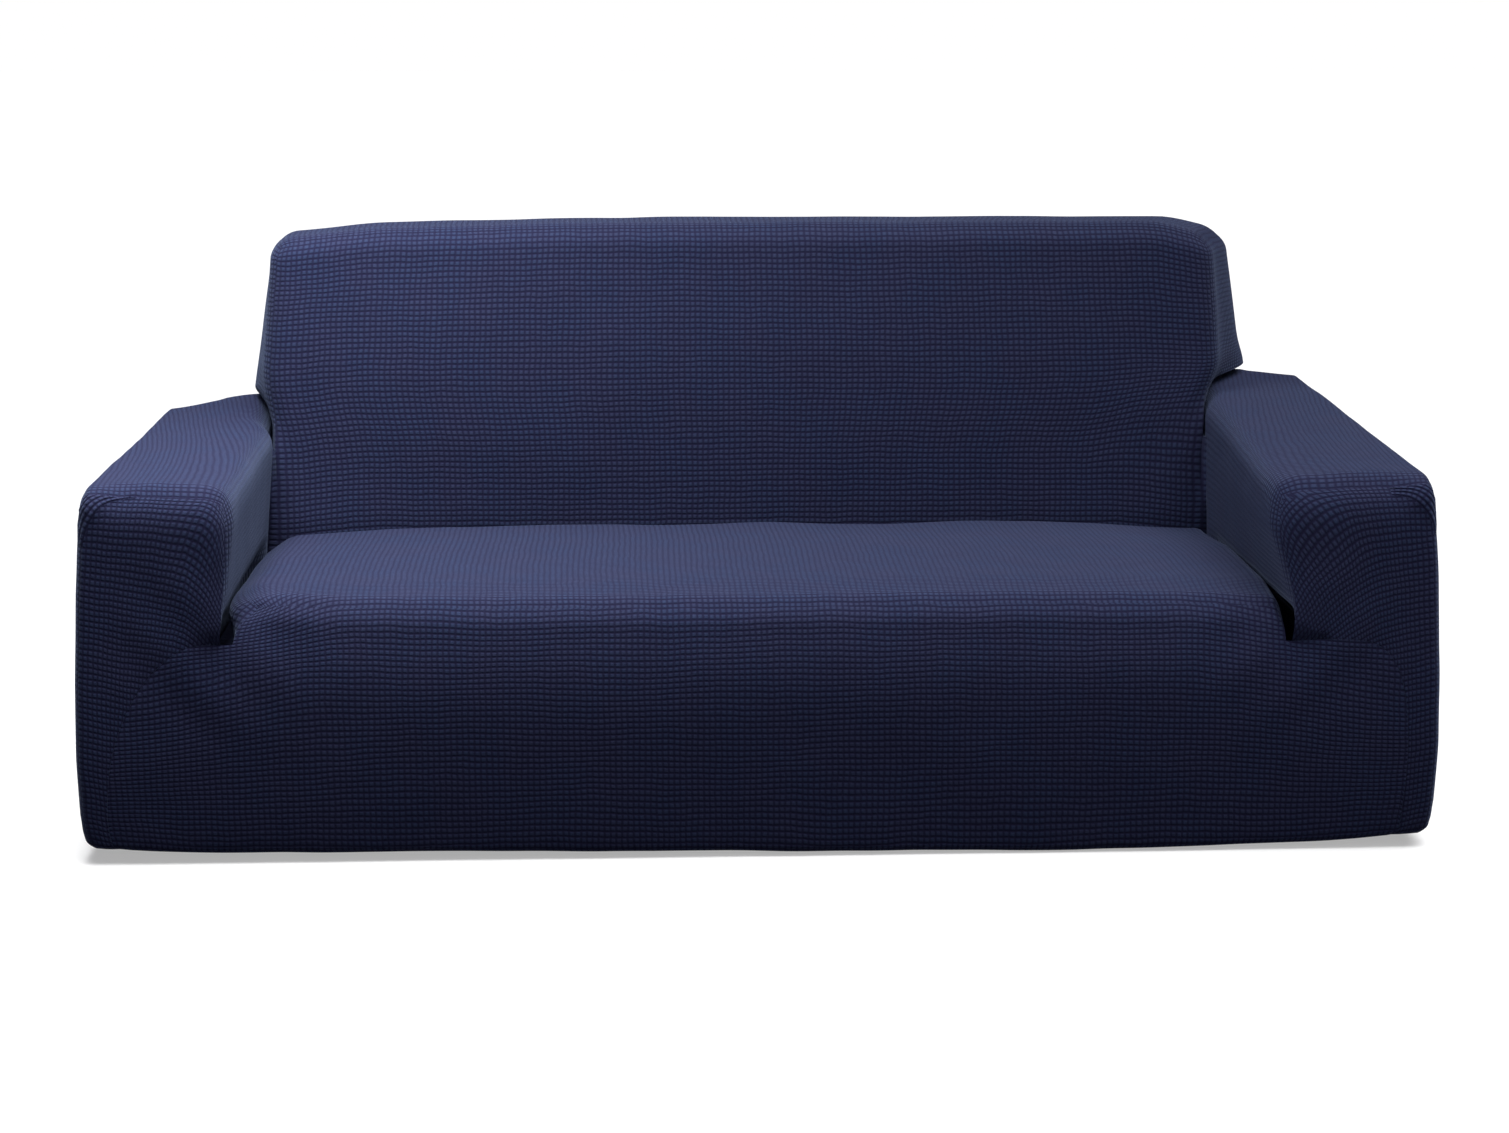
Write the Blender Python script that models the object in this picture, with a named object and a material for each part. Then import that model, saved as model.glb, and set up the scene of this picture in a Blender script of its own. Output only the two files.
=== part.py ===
"""Stretch slipcover for a two-seat sofa: navy waffle knit, drawn tight over arms, seat and back.

Metres, +Z up, the front facing -Y.  The cover is hollow and open underneath.  It is made of five
cut pieces of knit, each one closed sheet: the seat and skirt, the inside back, the outside back
and one sleeve for each arm.

How it is drawn.  The cloth is first laid out as a square-edged shell, on the planes of the form it
covers: (x, y, h), with x across, y back from the front plane and h up from the hem.  Then every
point goes through the same few steps: edges are rounded, the elastic hem turns under, the planes
lean and swell, and the folds are raised.  Neighbouring pieces share their seam points, so each
seam closes all along.  Last, each piece is pulled back a little from its seams and gets its
thickness.
"""

import bpy
import bmesh
from math import cos, exp, pi, sin, tan
from mathutils import Vector
from mathutils.geometry import delaunay_2d_cdt

# ---- overall sizes (m) ---------------------------------------------------------------------
HALF_WIDTH = 0.904          # widest point of the skirt's sides, from the middle
DEPTH = 0.840               # front plane to outside back
ARM_TOP = 0.488             # heights above the hem
SEAT_TOP = 0.340
BACK_TOP = 0.776
SEAT_HALF = 0.692           # half the width of the seat, and of the back between the arms
SEAT_DEPTH = 0.592          # front plane to the seat's rear wall
BACK_FRONT = 0.600          # front plane to the foot of the inside back
TUCK_FLOOR = 0.280          # bottom of the tucks beside and behind the seat, and of the slots
SIDE_TUCK_FLOOR = 0.440     # bottom of the tucks between arms and back
THICKNESS = 0.002           # of the knit
SEAM_PULL = 0.0002          # each piece stops this far short of its seam

# ---- rounding ------------------------------------------------------------------------------
EDGE_X = 0.036              # radii of rounded edges, measured along each direction
EDGE_Y = 0.042
ARM_EDGE_H = 0.032
SEAT_EDGE_H = 0.044
BACK_EDGE_H = 0.036
ARM_INNER_X = 0.030         # across an arm's top: its inner edge is softer than its outer edge
ARM_OUTER_X = 0.016
ARM_INNER_FRONT_Y = 0.030   # an arm's upright inner front edge
ARM_BROW_Y = 0.052          # an arm's top front edge is rounder than its long edges
ARM_BROW_H = 0.056
BROW_DEPTH = 0.090          # it runs over into them within this distance back
BROW_FROM = 0.090           # and between these distances down
BROW_TO = 0.020
BROW_INSIDE = (0.840, 0.890)    # fading out across the arm between these distances
HEM_RADIUS = 0.010          # where the elastic turns the hem under
HEM_RETURN = 0.024          # how far the hem runs in underneath

# ---- steps of the mesh ---------------------------------------------------------------------
EDGE_STEPS = 2              # on each side of a rounded edge
SEAT_COLUMNS = 10           # across the seat, between its rounded edges
SEAT_ROWS = 6               # from front to rear of the seat, between its rounded edges
SHOULDER_ROWS = 3           # from front to rear beside the back
SKIRT_ROWS = 6              # from the turned hem up to the slots
TUCK_ROWS = 4               # up the tucked walls beside the seat
BACK_ROWS = 5               # up the inside back, above the flare
ARM_COLUMNS = 4             # across an arm, between its rounded edges
SKIRT_SIDE_COLUMNS = 3      # of the skirt's hem, outside each slot
SEAM_STEPS = 8              # along a sleeve's curved front seam
SEAM_CLEARANCE = 0.016      # other mesh points keep this far from that seam
SHARPEST = 1.8              # most that the sheet's own thickness is stretched at a corner

# ---- the two ends, which are not quite alike -------------------------------------------------
# side: -1 left, +1 right as seen from the front.  inner: the sleeve's inner wall.  bulge: how much
# further out the outer side stands.  slot_lift: the slot's floor above the mean.  seam_x: the
# sleeve's front seam at the hem.  seam_power: how square its bend is (2 is an ellipse).  rise: how
# far the arm's top climbs to the rear.  inner_rise: how much more it climbs beside the back.
# Half the back's width: front_low and front_high along its front, back_low and back_high along its
# rear, just above the arm and at the top.  The back's top drops by shoulder, from the share
# shoulder_from of its half-width to the corner.  arm_bulge: how far the arm's inner wall swells
# towards the seat, growing between the heights bulge_from and bulge_to.  seat_corner: radius of the
# seat's front corner, across.
ENDS = (
    {"name": "left", "side": -1, "inner": 0.708, "bulge": 0.000, "slot_lift": 0.005,
     "seam_x": 0.864, "seam_power": 2.3, "rise": -0.003, "inner_rise": 0.023,
     "front_low": 0.716, "front_high": 0.699, "back_low": 0.740, "back_high": 0.704,
     "shoulder": 0.019, "shoulder_from": 0.70, "arm_bulge": 0.020, "bulge_from": 0.285,
     "bulge_to": 0.440, "seat_corner": 0.075},
    {"name": "right", "side": 1, "inner": 0.700, "bulge": 0.003, "slot_lift": -0.004,
     "seam_x": 0.857, "seam_power": 5.0, "rise": 0.040, "inner_rise": 0.010,
     "front_low": 0.730, "front_high": 0.716, "back_low": 0.790, "back_high": 0.756,
     "shoulder": 0.021, "shoulder_from": 0.86, "arm_bulge": 0.030, "bulge_from": 0.325,
     "bulge_to": 0.420, "seat_corner": 0.014},
)

# How far the outer sides stand in from HALF_WIDTH at each height above the hem.
SIDE_LEAN = ((0.00, 0.010), (0.02, 0.005), (0.05, 0.002), (0.13, 0.000), (0.23, 0.003),
             (0.35, 0.009), (0.40, 0.013), (0.45, 0.018), (0.49, 0.021))

# Height of the front hem at each distance across.
HEM_LINE = ((-0.90, -0.001), (-0.45, -0.003), (-0.06, -0.008), (0.26, -0.012), (0.42, -0.013),
            (0.58, -0.010), (0.75, -0.007), (0.90, -0.003))

# The back's sides flare out over the arms: from the tuck to a lip, and on to the full width.  The
# front of the back widens more gently.
FLARE_START = 0.466
FLARE_LIP = 0.492
FLARE_END = 0.506
LIP_OUT = 0.012             # the lip stands this far outside the arm's inner wall
FRONT_FLARE_FROM = 0.420
FRONT_FLARE_TO = 0.570
FLARE_BEHIND = 0.020        # from front to rear, the flare grows between these distances from the
FLARE_BEFORE = 0.040        # back's front and from its rear

# ---- swell and folds -----------------------------------------------------------------------
BACK_LEAN = 0.080           # the inside back's top lies this far behind its foot
BACK_SWELL = 0.019
SHOULDER_DEPTH = 0.180      # how far down the back the drop of its shoulders reaches
LIP_CLIMB_REACH = 0.120     # how far above and below the arm's top the flare follows its climb
LIP_CLIMB_FROM = 0.700      # share of the half-width from which it does
SEAT_SWELL = 0.006
SEAT_CROWN_FROM = 0.170     # from this height up, the seat's front leans back
SEAT_CROWN_BACK = 0.022
SEAT_CROWN_DOWN = 0.008     # and the front of its top lies lower
SEAT_CROWN_FADE = 0.130     # over this distance back
SEAT_CROWN_ENDS = 0.070     # and this far past the slots
SEAT_EDGE_LINE = ((-0.69, 0.010), (-0.55, 0.004), (-0.35, 0.000), (0.45, 0.000), (0.60, -0.003),
                  (0.69, -0.008))   # height of the seat's front edge along it
ROUND_UP_TO = 0.010         # upright edges of the seat are fully rounded this far below its top
HEM_LEAN = 0.012            # the front of the skirt leans in towards the hem
HEM_LEAN_FROM = 0.200
HEM_LEAN_FADE = 0.100
ARM_SWELL = 0.004           # along the middle of an arm's top
ARM_SWELL_AT = 0.80
ARM_SWELL_REACH = 0.11
ARM_BULGE_ACROSS = 0.070    # how far across an arm its inner bulge reaches
ARM_BULGE_REAR = 0.400      # its share that is left just before the back
ARM_BULGE_FADE = 0.090      # the length over which that ends
ARM_CLIMB_DEPTH = 0.12      # how far down an arm its sides follow the climb of its top
CORNER_DIP = 0.012          # the seat's rear corners are drawn down into the tucks
CORNER_FROM_X = 0.42
CORNER_FROM_Y = 0.30
TUCK_RIPPLE = 0.003         # ripples of the seat along the rear tuck
RIPPLE_LENGTH = 0.31
RIPPLE_FADE = 0.06
RIPPLE_PHASE = 0.7
HEM_WAVE = 0.0025           # of the hem along the sides and the rear
HEM_WAVE_X = 0.83
HEM_WAVE_Y = 0.71
HEM_WAVE_PHASE = 0.9
HEM_FADE = 0.10             # how far up the skirt the hem's waves reach
HEM_CORNER = 0.007          # the hem is drawn up at the corners
HEM_CORNER_REACH = 0.15
HEM_CORNER_FROM_X = 0.72
SLOT_REACH = 0.07           # how far around a slot its floor is lifted or lowered
SLOT_LIFT_FROM = 0.45       # the lift grows from here across to the slot
SLOT_LIFT_END = (0.75, 0.85)    # and fades out on the arm between these distances
PULL_FOLD = 0.0010          # soft folds that run out from the slots
PULL_SPACING = 0.11
PULL_GROWS = (0.01, 0.05)   # distances from a slot's corner
PULL_FADES = (0.08, 0.17)

# ---- looks ---------------------------------------------------------------------------------
NAVY = (0.012, 0.015, 0.045, 1.0)
CLOTH_ROUGHNESS = 0.92

# The part's origin: under the cloth, midway along the top of the back.
ORIGIN = Vector((0.0, 0.760, BACK_TOP - THICKNESS))


def ease(start, stop, value):
    """0 at start, 1 at stop, smooth between and flat outside."""
    t = min(1.0, max(0.0, (value - start) / (stop - start)))
    return t * t * (3.0 - 2.0 * t)


def bump(centre, reach, value):
    """1 at the centre, falling smoothly to 0 at the reach on both sides."""
    return 1.0 - ease(0.0, reach, abs(value - centre))


def read_off(table, value):
    """Straight-line reading of a table of (value, reading) rows."""
    for (x0, y0), (x1, y1) in zip(table, table[1:]):
        if value <= x1:
            t = max(0.0, (value - x0) / (x1 - x0))
            return y0 + (y1 - y0) * t
    return table[-1][1]


def spread(start, stop, count):
    """Evenly spaced values from start to stop, both included."""
    return [start + (stop - start) * i / count for i in range(count + 1)]


def edge_offsets(radius):
    """Distances from a square edge that become even steps once the edge is rounded."""
    return [radius * (1.0 - tan(pi / 4 * (1 - i / EDGE_STEPS))) for i in range(EDGE_STEPS + 1)]


def run(start, stop, count, start_radius=0.0, stop_radius=0.0):
    """Values from start to stop, closer together within a radius of a rounded end."""
    middle = spread(start + start_radius, stop - stop_radius, count)
    head = [start + d for d in edge_offsets(start_radius)[:-1]] if start_radius else []
    tail = [stop - d for d in reversed(edge_offsets(stop_radius)[:-1])] if stop_radius else []
    return head + middle + tail


def end_at(x):
    """The row of ENDS on this side of the middle."""
    return ENDS[0] if x < 0 else ENDS[1]


# ---- rows and columns shared by neighbouring pieces ------------------------------------------
ACROSS = run(-SEAT_HALF, SEAT_HALF, SEAT_COLUMNS, EDGE_X, EDGE_X)
SEAT_BACKWARD = run(0.0, SEAT_DEPTH, SEAT_ROWS, EDGE_Y, EDGE_Y)
SHOULDER_BACKWARD = run(BACK_FRONT, DEPTH, SHOULDER_ROWS, EDGE_Y, EDGE_Y)
HEM_UP = [-HEM_RETURN, -HEM_RADIUS, 0.0, HEM_RADIUS]
SKIRT_UP = spread(HEM_RADIUS, TUCK_FLOOR, SKIRT_ROWS)
TUCK_UP = spread(TUCK_FLOOR, SIDE_TUCK_FLOOR, TUCK_ROWS)
ARM_UP = [SIDE_TUCK_FLOOR] + [ARM_TOP - d for d in reversed(edge_offsets(ARM_EDGE_H))]
SEAT_UP = [TUCK_FLOOR] + [SEAT_TOP - d for d in reversed(edge_offsets(SEAT_EDGE_H))]
BACK_UP = [SIDE_TUCK_FLOOR, FLARE_START, FLARE_LIP]
BACK_UP += run(FLARE_END, BACK_TOP, BACK_ROWS, 0.0, BACK_EDGE_H)


def arm_columns(end, inner):
    """Columns of a sleeve from the outer side in to `inner`, at the same shares of any width."""
    full = HALF_WIDTH - end["inner"]
    shares = [x / full for x in run(0.0, full, ARM_COLUMNS, ARM_OUTER_X, ARM_INNER_X)]
    return [end["side"] * (HALF_WIDTH - share * (HALF_WIDTH - inner)) for share in shares]


def front_seam(end):
    """Seam of a sleeve on the front: (x, h) from the slot's corner down to the hem."""
    seam = []
    for angle in spread(0.0, pi / 2, SEAM_STEPS):
        across = sin(angle) ** (2.0 / end["seam_power"])
        up = max(0.0, cos(angle) - 1e-9) ** (2.0 / end["seam_power"])
        x = end["inner"] + (end["seam_x"] - end["inner"]) * across
        seam.append((end["side"] * x, HEM_RADIUS + (TUCK_FLOOR - HEM_RADIUS) * up))
    return seam


def clear_of(seam, point):
    """Whether a point keeps the clearance from every stretch of the seam."""
    for start, stop in zip(seam, seam[1:]):
        a, along = Vector(start), Vector(stop) - Vector(start)
        share = min(1.0, max(0.0, (Vector(point) - a).dot(along) / along.length_squared))
        if (a + along * share - Vector(point)).length < SEAM_CLEARANCE:
            return False
    return True


def under(seam, point, side):
    """Whether a point lies on the skirt's side of the seam."""
    for start, stop in zip(seam, seam[1:]):
        along = Vector(stop) - Vector(start)
        if side * along.cross(Vector(point) - Vector(start)) > 0:
            return False
    return True


# ---- from the square shell to the draped shape -----------------------------------------------
def round_off(point, limits, upright=1.0):
    """Moves a point of a box's surface onto the box with rounded edges.

    limits has, for each direction, (low, high, radius); None is no limit.  upright is how much of
    the rounding an upright edge gets, from 0 to 1.
    """
    cores = []
    scaled = []
    for value, (low, high, radius) in zip(point, limits):
        core = value
        if low is not None:
            core = max(core, low + radius)
        if high is not None:
            core = min(core, high - radius)
        cores.append(core)
        scaled.append((value - core) / radius)
    length = sum(s * s for s in scaled) ** 0.5
    if length <= 1.0:
        return Vector(point)
    rounded = Vector([core + (value - core) / length for core, value in zip(cores, point)])
    share = upright if scaled[0] and scaled[1] else 1.0
    return Vector(point).lerp(rounded, share)


def arm_climb(end, x, y):
    """How far an arm's top has climbed at x and y."""
    inward = 1.0 - ease(end["inner"], HALF_WIDTH, abs(x))
    beside_back = ease(BACK_FRONT - EDGE_Y, DEPTH, y)
    return end["rise"] * y / DEPTH + end["inner_rise"] * inward * beside_back


def arm_limits(end, x, y, h):
    """Walls of an arm with the radii of its edges at a point, for x counted outwards."""
    on_inner_half = x < (end["inner"] + HALF_WIDTH) / 2
    radius_x = ARM_INNER_X if on_inner_half else ARM_OUTER_X
    radius_y = ARM_INNER_FRONT_Y if on_inner_half else EDGE_Y
    brow = (1.0 - ease(0.0, BROW_DEPTH, y)) * (1.0 - ease(*BROW_INSIDE, x))
    high = ease(ARM_TOP - BROW_FROM, ARM_TOP - BROW_TO, h)
    radius_y += (ARM_BROW_Y - radius_y) * high * brow
    radius_h = ARM_EDGE_H + (ARM_BROW_H - ARM_EDGE_H) * brow
    has_wall = x >= end["inner"] - 1e-6 and h > TUCK_FLOOR
    inner = end["inner"] if has_wall else None
    return (inner, HALF_WIDTH, radius_x), (0.0, DEPTH, radius_y), (None, ARM_TOP, radius_h)


def inner_bulge(end, x, y, h):
    """How far an arm swells towards the seat at a point, for x counted outwards."""
    inward = 1.0 - ease(end["inner"], end["inner"] + ARM_BULGE_ACROSS, x)
    up = (h - end["bulge_from"]) / (end["bulge_to"] - end["bulge_from"])
    along = 1.0 - (1.0 - ARM_BULGE_REAR) * ease(0.0, BACK_FRONT, y)
    along *= 1.0 - ease(SEAT_DEPTH - ARM_BULGE_FADE, SEAT_DEPTH, y)
    return end["arm_bulge"] * inward * min(1.0, max(0.0, up)) * along


def drape_arm(x, y, h):
    """Sleeves, skirt and the lower part of the outside back."""
    end = end_at(x)
    upright = 1.0
    if abs(x) < end["inner"] + ARM_INNER_X:
        tuck = TUCK_FLOOR if y < BACK_FRONT else SIDE_TUCK_FLOOR
        upright = ease(tuck, ARM_TOP - ARM_EDGE_H, h)
    p = round_off((abs(x), y, h), arm_limits(end, abs(x), y, h), upright)
    p.x -= inner_bulge(end, abs(x), y, h)
    outward = ease(end["inner"], HALF_WIDTH, p.x)
    p.x += (end["bulge"] - read_off(SIDE_LEAN, h)) * outward
    top = ease(ARM_TOP - ARM_CLIMB_DEPTH, ARM_TOP, p.z)
    swell = ARM_SWELL * bump(ARM_SWELL_AT, ARM_SWELL_REACH, p.x)
    p.z += top * (arm_climb(end, x, y) + swell)
    return Vector((p.x * end["side"], p.y, p.z))


def drape_seat(x, y, h):
    """Seat top, its front above the slots, and its tucked walls."""
    limits = ((-SEAT_HALF, SEAT_HALF, end_at(x)["seat_corner"]), (0.0, SEAT_DEPTH, EDGE_Y),
              (None, SEAT_TOP, SEAT_EDGE_H))
    p = round_off((x, y, h), limits, ease(TUCK_FLOOR, SEAT_TOP - ROUND_UP_TO, h))
    top = ease(TUCK_FLOOR, SEAT_TOP, p.z)
    across = 1.0 - (x / SEAT_HALF) ** 2
    p.z += top * SEAT_SWELL * across * sin(pi * min(1.0, y / SEAT_DEPTH))
    corner = ease(CORNER_FROM_X, SEAT_HALF, abs(x)) * ease(CORNER_FROM_Y, SEAT_DEPTH, y)
    p.z -= top * CORNER_DIP * corner
    ripple = exp(-(SEAT_DEPTH - y) / RIPPLE_FADE) * sin(2 * pi * x / RIPPLE_LENGTH + RIPPLE_PHASE)
    p.z += top * TUCK_RIPPLE * ripple * across
    p.z += top * read_off(SEAT_EDGE_LINE, x) * (1.0 - ease(0.0, SEAT_DEPTH / 2, y))
    return p


def back_half_width(end, y, h):
    """Half the back's width at this depth and height, flaring out over the arm to the rear."""
    lip = end["inner"] + LIP_OUT
    share_up = min(1.0, max(0.0, (h - FLARE_END) / (BACK_TOP - FLARE_END)))
    rear = end["back_low"] + (end["back_high"] - end["back_low"]) * share_up
    rear = (SEAT_HALF + (lip - SEAT_HALF) * ease(FLARE_START, FLARE_LIP, h)
            + (rear - lip) * ease(FLARE_LIP, FLARE_END, h))
    front = end["front_low"] + (end["front_high"] - end["front_low"]) * share_up
    front = SEAT_HALF + (front - SEAT_HALF) * ease(FRONT_FLARE_FROM, FRONT_FLARE_TO, h)
    return front + (rear - front) * ease(BACK_FRONT + FLARE_BEHIND, DEPTH - FLARE_BEFORE, y)


def drape_back(x, y, h):
    """Inside back, the top, the back's sides, and the outside back above the arms."""
    end = end_at(x)
    limits = ((None, SEAT_HALF, EDGE_X), (BACK_FRONT, DEPTH, EDGE_Y),
              (None, BACK_TOP, BACK_EDGE_H))
    p = round_off((abs(x), y, h), limits, ease(SIDE_TUCK_FLOOR, FLARE_END, h))
    half = back_half_width(end, y, h)
    p.x *= half / SEAT_HALF
    share = p.x / half
    beside_arm = bump(ARM_TOP, LIP_CLIMB_REACH, h) * ease(LIP_CLIMB_FROM, 1.0, share)
    p.z += arm_climb(end, end["inner"], y) * beside_arm
    rise = min(1.0, max(0.0, (h - SEAT_TOP) / (BACK_TOP - SEAT_TOP)))
    forward = min(1.0, max(0.0, (DEPTH - p.y) / (DEPTH - BACK_FRONT)))
    p.y += BACK_LEAN * rise * forward
    p.y -= BACK_SWELL * sin(pi * rise) * (1.0 - share ** 4) * forward
    drop = ease(end["shoulder_from"], 1.0, share) * ease(BACK_TOP - SHOULDER_DEPTH, BACK_TOP, h)
    p.z -= end["shoulder"] * drop
    return Vector((p.x * end["side"], p.y, p.z))


def turn_hem(p, h):
    """Turns the bottom of the skirt under, towards the middle of the cover."""
    if h >= HEM_RADIUS:
        return p
    if h > -HEM_RADIUS:
        angle = (HEM_RADIUS - h) / (2 * HEM_RADIUS) * pi / 2
        inset = HEM_RADIUS * (1 - cos(angle))
        height = HEM_RADIUS * (1 - sin(angle))
    else:
        inset = -h
        height = 0.0
    x = p.x * (1 - inset / HALF_WIDTH)
    y = DEPTH / 2 + (p.y - DEPTH / 2) * (1 - inset / (DEPTH / 2))
    return Vector((x, y, height))


def lean_front(p, square):
    """Leans the front: back towards the seat's crown, and in towards the hem."""
    x, y, h = square
    on_arm = abs(x) > end_at(x)["inner"] - 1e-6 and h > TUCK_FLOOR
    if not on_arm:
        crown = ease(SEAT_CROWN_FROM, SEAT_TOP, h) ** 2 * (1.0 - ease(0.0, SEAT_CROWN_FADE, y))
        crown *= 1.0 - ease(SEAT_HALF, SEAT_HALF + SEAT_CROWN_ENDS, abs(x))
        if h <= SEAT_TOP:
            p.y += SEAT_CROWN_BACK * crown
            p.z -= SEAT_CROWN_DOWN * crown
    low = max(0.0, 1.0 - h / HEM_LEAN_FROM) ** 2
    p.y += HEM_LEAN * low * (1.0 - ease(0.0, HEM_LEAN_FADE, y))
    return p


def uneven(p, square):
    """The cover's own unevenness: the hem's line, drawn-up corners, pulls at the slots."""
    x, y, h = square
    end = end_at(x)
    low = 1.0 - ease(0.0, HEM_FADE, h)
    forward = 1.0 - ease(0.0, DEPTH / 2, y)
    wave = HEM_WAVE * sin(2 * pi * x / HEM_WAVE_X + HEM_WAVE_PHASE) * cos(2 * pi * y / HEM_WAVE_Y)
    p.z += low * (forward * read_off(HEM_LINE, x) + (1.0 - forward) * wave)
    ends = max(bump(0.0, HEM_CORNER_REACH, y), bump(DEPTH, HEM_CORNER_REACH, y))
    p.z += low * HEM_CORNER * ends * ease(HEM_CORNER_FROM_X, HALF_WIDTH, abs(x))
    beside = ease(SLOT_LIFT_FROM, SEAT_HALF, abs(x)) * (1.0 - ease(*SLOT_LIFT_END, abs(x)))
    near_slot = bump(TUCK_FLOOR, SLOT_REACH, h) * (1.0 - ease(DEPTH / 3, SEAT_DEPTH, y))
    p.z += near_slot * end["slot_lift"] * beside
    if y < 1e-6 and h > HEM_RADIUS:
        across, up = abs(x) - end["inner"], h - TUCK_FLOOR
        away = (across ** 2 + up ** 2) ** 0.5
        fade = ease(*PULL_GROWS, away) * (1.0 - ease(*PULL_FADES, away))
        p.y += PULL_FOLD * fade * sin(2 * pi * (across - up) / PULL_SPACING)
    return p


def drape(square):
    """Final place of a point of the square shell, as (x, y, height above the hem)."""
    x, y, h = square
    end = end_at(x)
    beside = abs(x) > SEAT_HALF + 1e-6
    if y > BACK_FRONT - 1e-6 and h >= SIDE_TUCK_FLOOR - 1e-6 and not beside:
        p = drape_back(x, y, h)
    elif y < SEAT_DEPTH + 1e-6 and h > TUCK_FLOOR + 1e-6 and not beside:
        p = drape_seat(x, y, h)
    elif abs(x) >= end["inner"] - 1e-6 or h <= TUCK_FLOOR or y > DEPTH - 1e-6:
        p = drape_arm(x, y, h)
    elif y > BACK_FRONT - 1e-6 and not beside:
        p = drape_back(x, y, h)
    else:
        p = Vector(square)
    return uneven(lean_front(turn_hem(p, h), square), square)


# ---- laying out the square shell ---------------------------------------------------------------
class Shell:
    """All pieces of the cover as one welded surface, each face marked with its piece."""

    def __init__(self):
        self.mesh = bmesh.new()
        self.points = {}
        self.pieces = {}

    def point(self, square):
        key = tuple(round(value, 6) for value in square)
        if key not in self.points:
            self.points[key] = self.mesh.verts.new(drape(square))
        return self.points[key]

    def grid(self, piece, rows):
        """Faces between successive rows of square points, all rows of one length."""
        for lower, upper in zip(rows, rows[1:]):
            for i in range(len(lower) - 1):
                self.face(piece, (lower[i], lower[i + 1], upper[i + 1], upper[i]))

    def face(self, piece, squares):
        self.pieces[self.mesh.faces.new([self.point(square) for square in squares])] = piece

    def face_outward(self):
        """Turns every face's front to the outside of the cover."""
        bmesh.ops.recalc_face_normals(self.mesh, faces=self.mesh.faces[:])
        rearmost = max(self.mesh.faces, key=lambda face: face.calc_center_median().y)
        if rearmost.normal.y < 0:
            bmesh.ops.reverse_faces(self.mesh, faces=self.mesh.faces[:])
        self.mesh.normal_update()
        self.mesh.verts.index_update()
        self.mesh.edges.index_update()


def lay_out_seat_and_skirt(shell):
    piece = "seat_and_skirt"
    left, right = (end["side"] * end["inner"] for end in ENDS)
    shell.grid(piece, [[(x, 0.0, h) for x in [left] + ACROSS + [right]]
                       for h in HEM_UP + SKIRT_UP[1:]])
    shell.grid(piece, [[(x, 0.0, h) for x in ACROSS] for h in SEAT_UP])
    shell.grid(piece, [[(x, y, SEAT_TOP) for x in ACROSS] for y in SEAT_BACKWARD])
    shell.grid(piece, [[(x, SEAT_DEPTH, h) for x in ACROSS] for h in SEAT_UP])
    shell.grid(piece, [[(x, y, TUCK_FLOOR) for x in ACROSS] for y in (SEAT_DEPTH, BACK_FRONT)])
    for end in ENDS:
        wall = end["side"] * SEAT_HALF
        inner = end["side"] * end["inner"]
        shell.grid(piece, [[(wall, y, h) for y in SEAT_BACKWARD] for h in SEAT_UP])
        floor_rows = SEAT_BACKWARD + [BACK_FRONT]
        shell.grid(piece, [[(x, y, TUCK_FLOOR) for x in (wall, inner)] for y in floor_rows])


def lay_out_inside_back(shell):
    piece = "inside_back"
    left, right = (end["side"] * end["inner"] for end in ENDS)
    shell.grid(piece, [[(x, BACK_FRONT, h) for x in [left] + ACROSS + [right]] for h in TUCK_UP])
    shell.grid(piece, [[(x, BACK_FRONT, h) for x in ACROSS] for h in BACK_UP])
    shell.grid(piece, [[(x, y, BACK_TOP) for x in ACROSS] for y in SHOULDER_BACKWARD])
    for end in ENDS:
        wall = end["side"] * SEAT_HALF
        inner = end["side"] * end["inner"]
        shell.grid(piece, [[(wall, y, h) for y in SHOULDER_BACKWARD] for h in BACK_UP])
        shell.grid(piece, [[(x, y, SIDE_TUCK_FLOOR) for x in (wall, inner)]
                           for y in SHOULDER_BACKWARD])


def lay_out_sleeve(shell, end):
    piece = "arm_sleeve_" + end["name"]
    side = end["side"]
    inner = side * end["inner"]
    outer = side * HALF_WIDTH
    backward = SEAT_BACKWARD + SHOULDER_BACKWARD
    upper = TUCK_UP + ARM_UP[1:]
    shell.grid(piece, [[(inner, y, h) for y in SEAT_BACKWARD + [BACK_FRONT]] for h in upper])
    shell.grid(piece, [[(inner, y, h) for y in SHOULDER_BACKWARD] for h in ARM_UP])
    shell.grid(piece, [[(x, y, ARM_TOP) for x in arm_columns(end, end["inner"])]
                       for y in backward])
    shell.grid(piece, [[(outer, y, h) for y in backward]
                       for h in HEM_UP + SKIRT_UP[1:] + upper[1:]])


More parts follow.
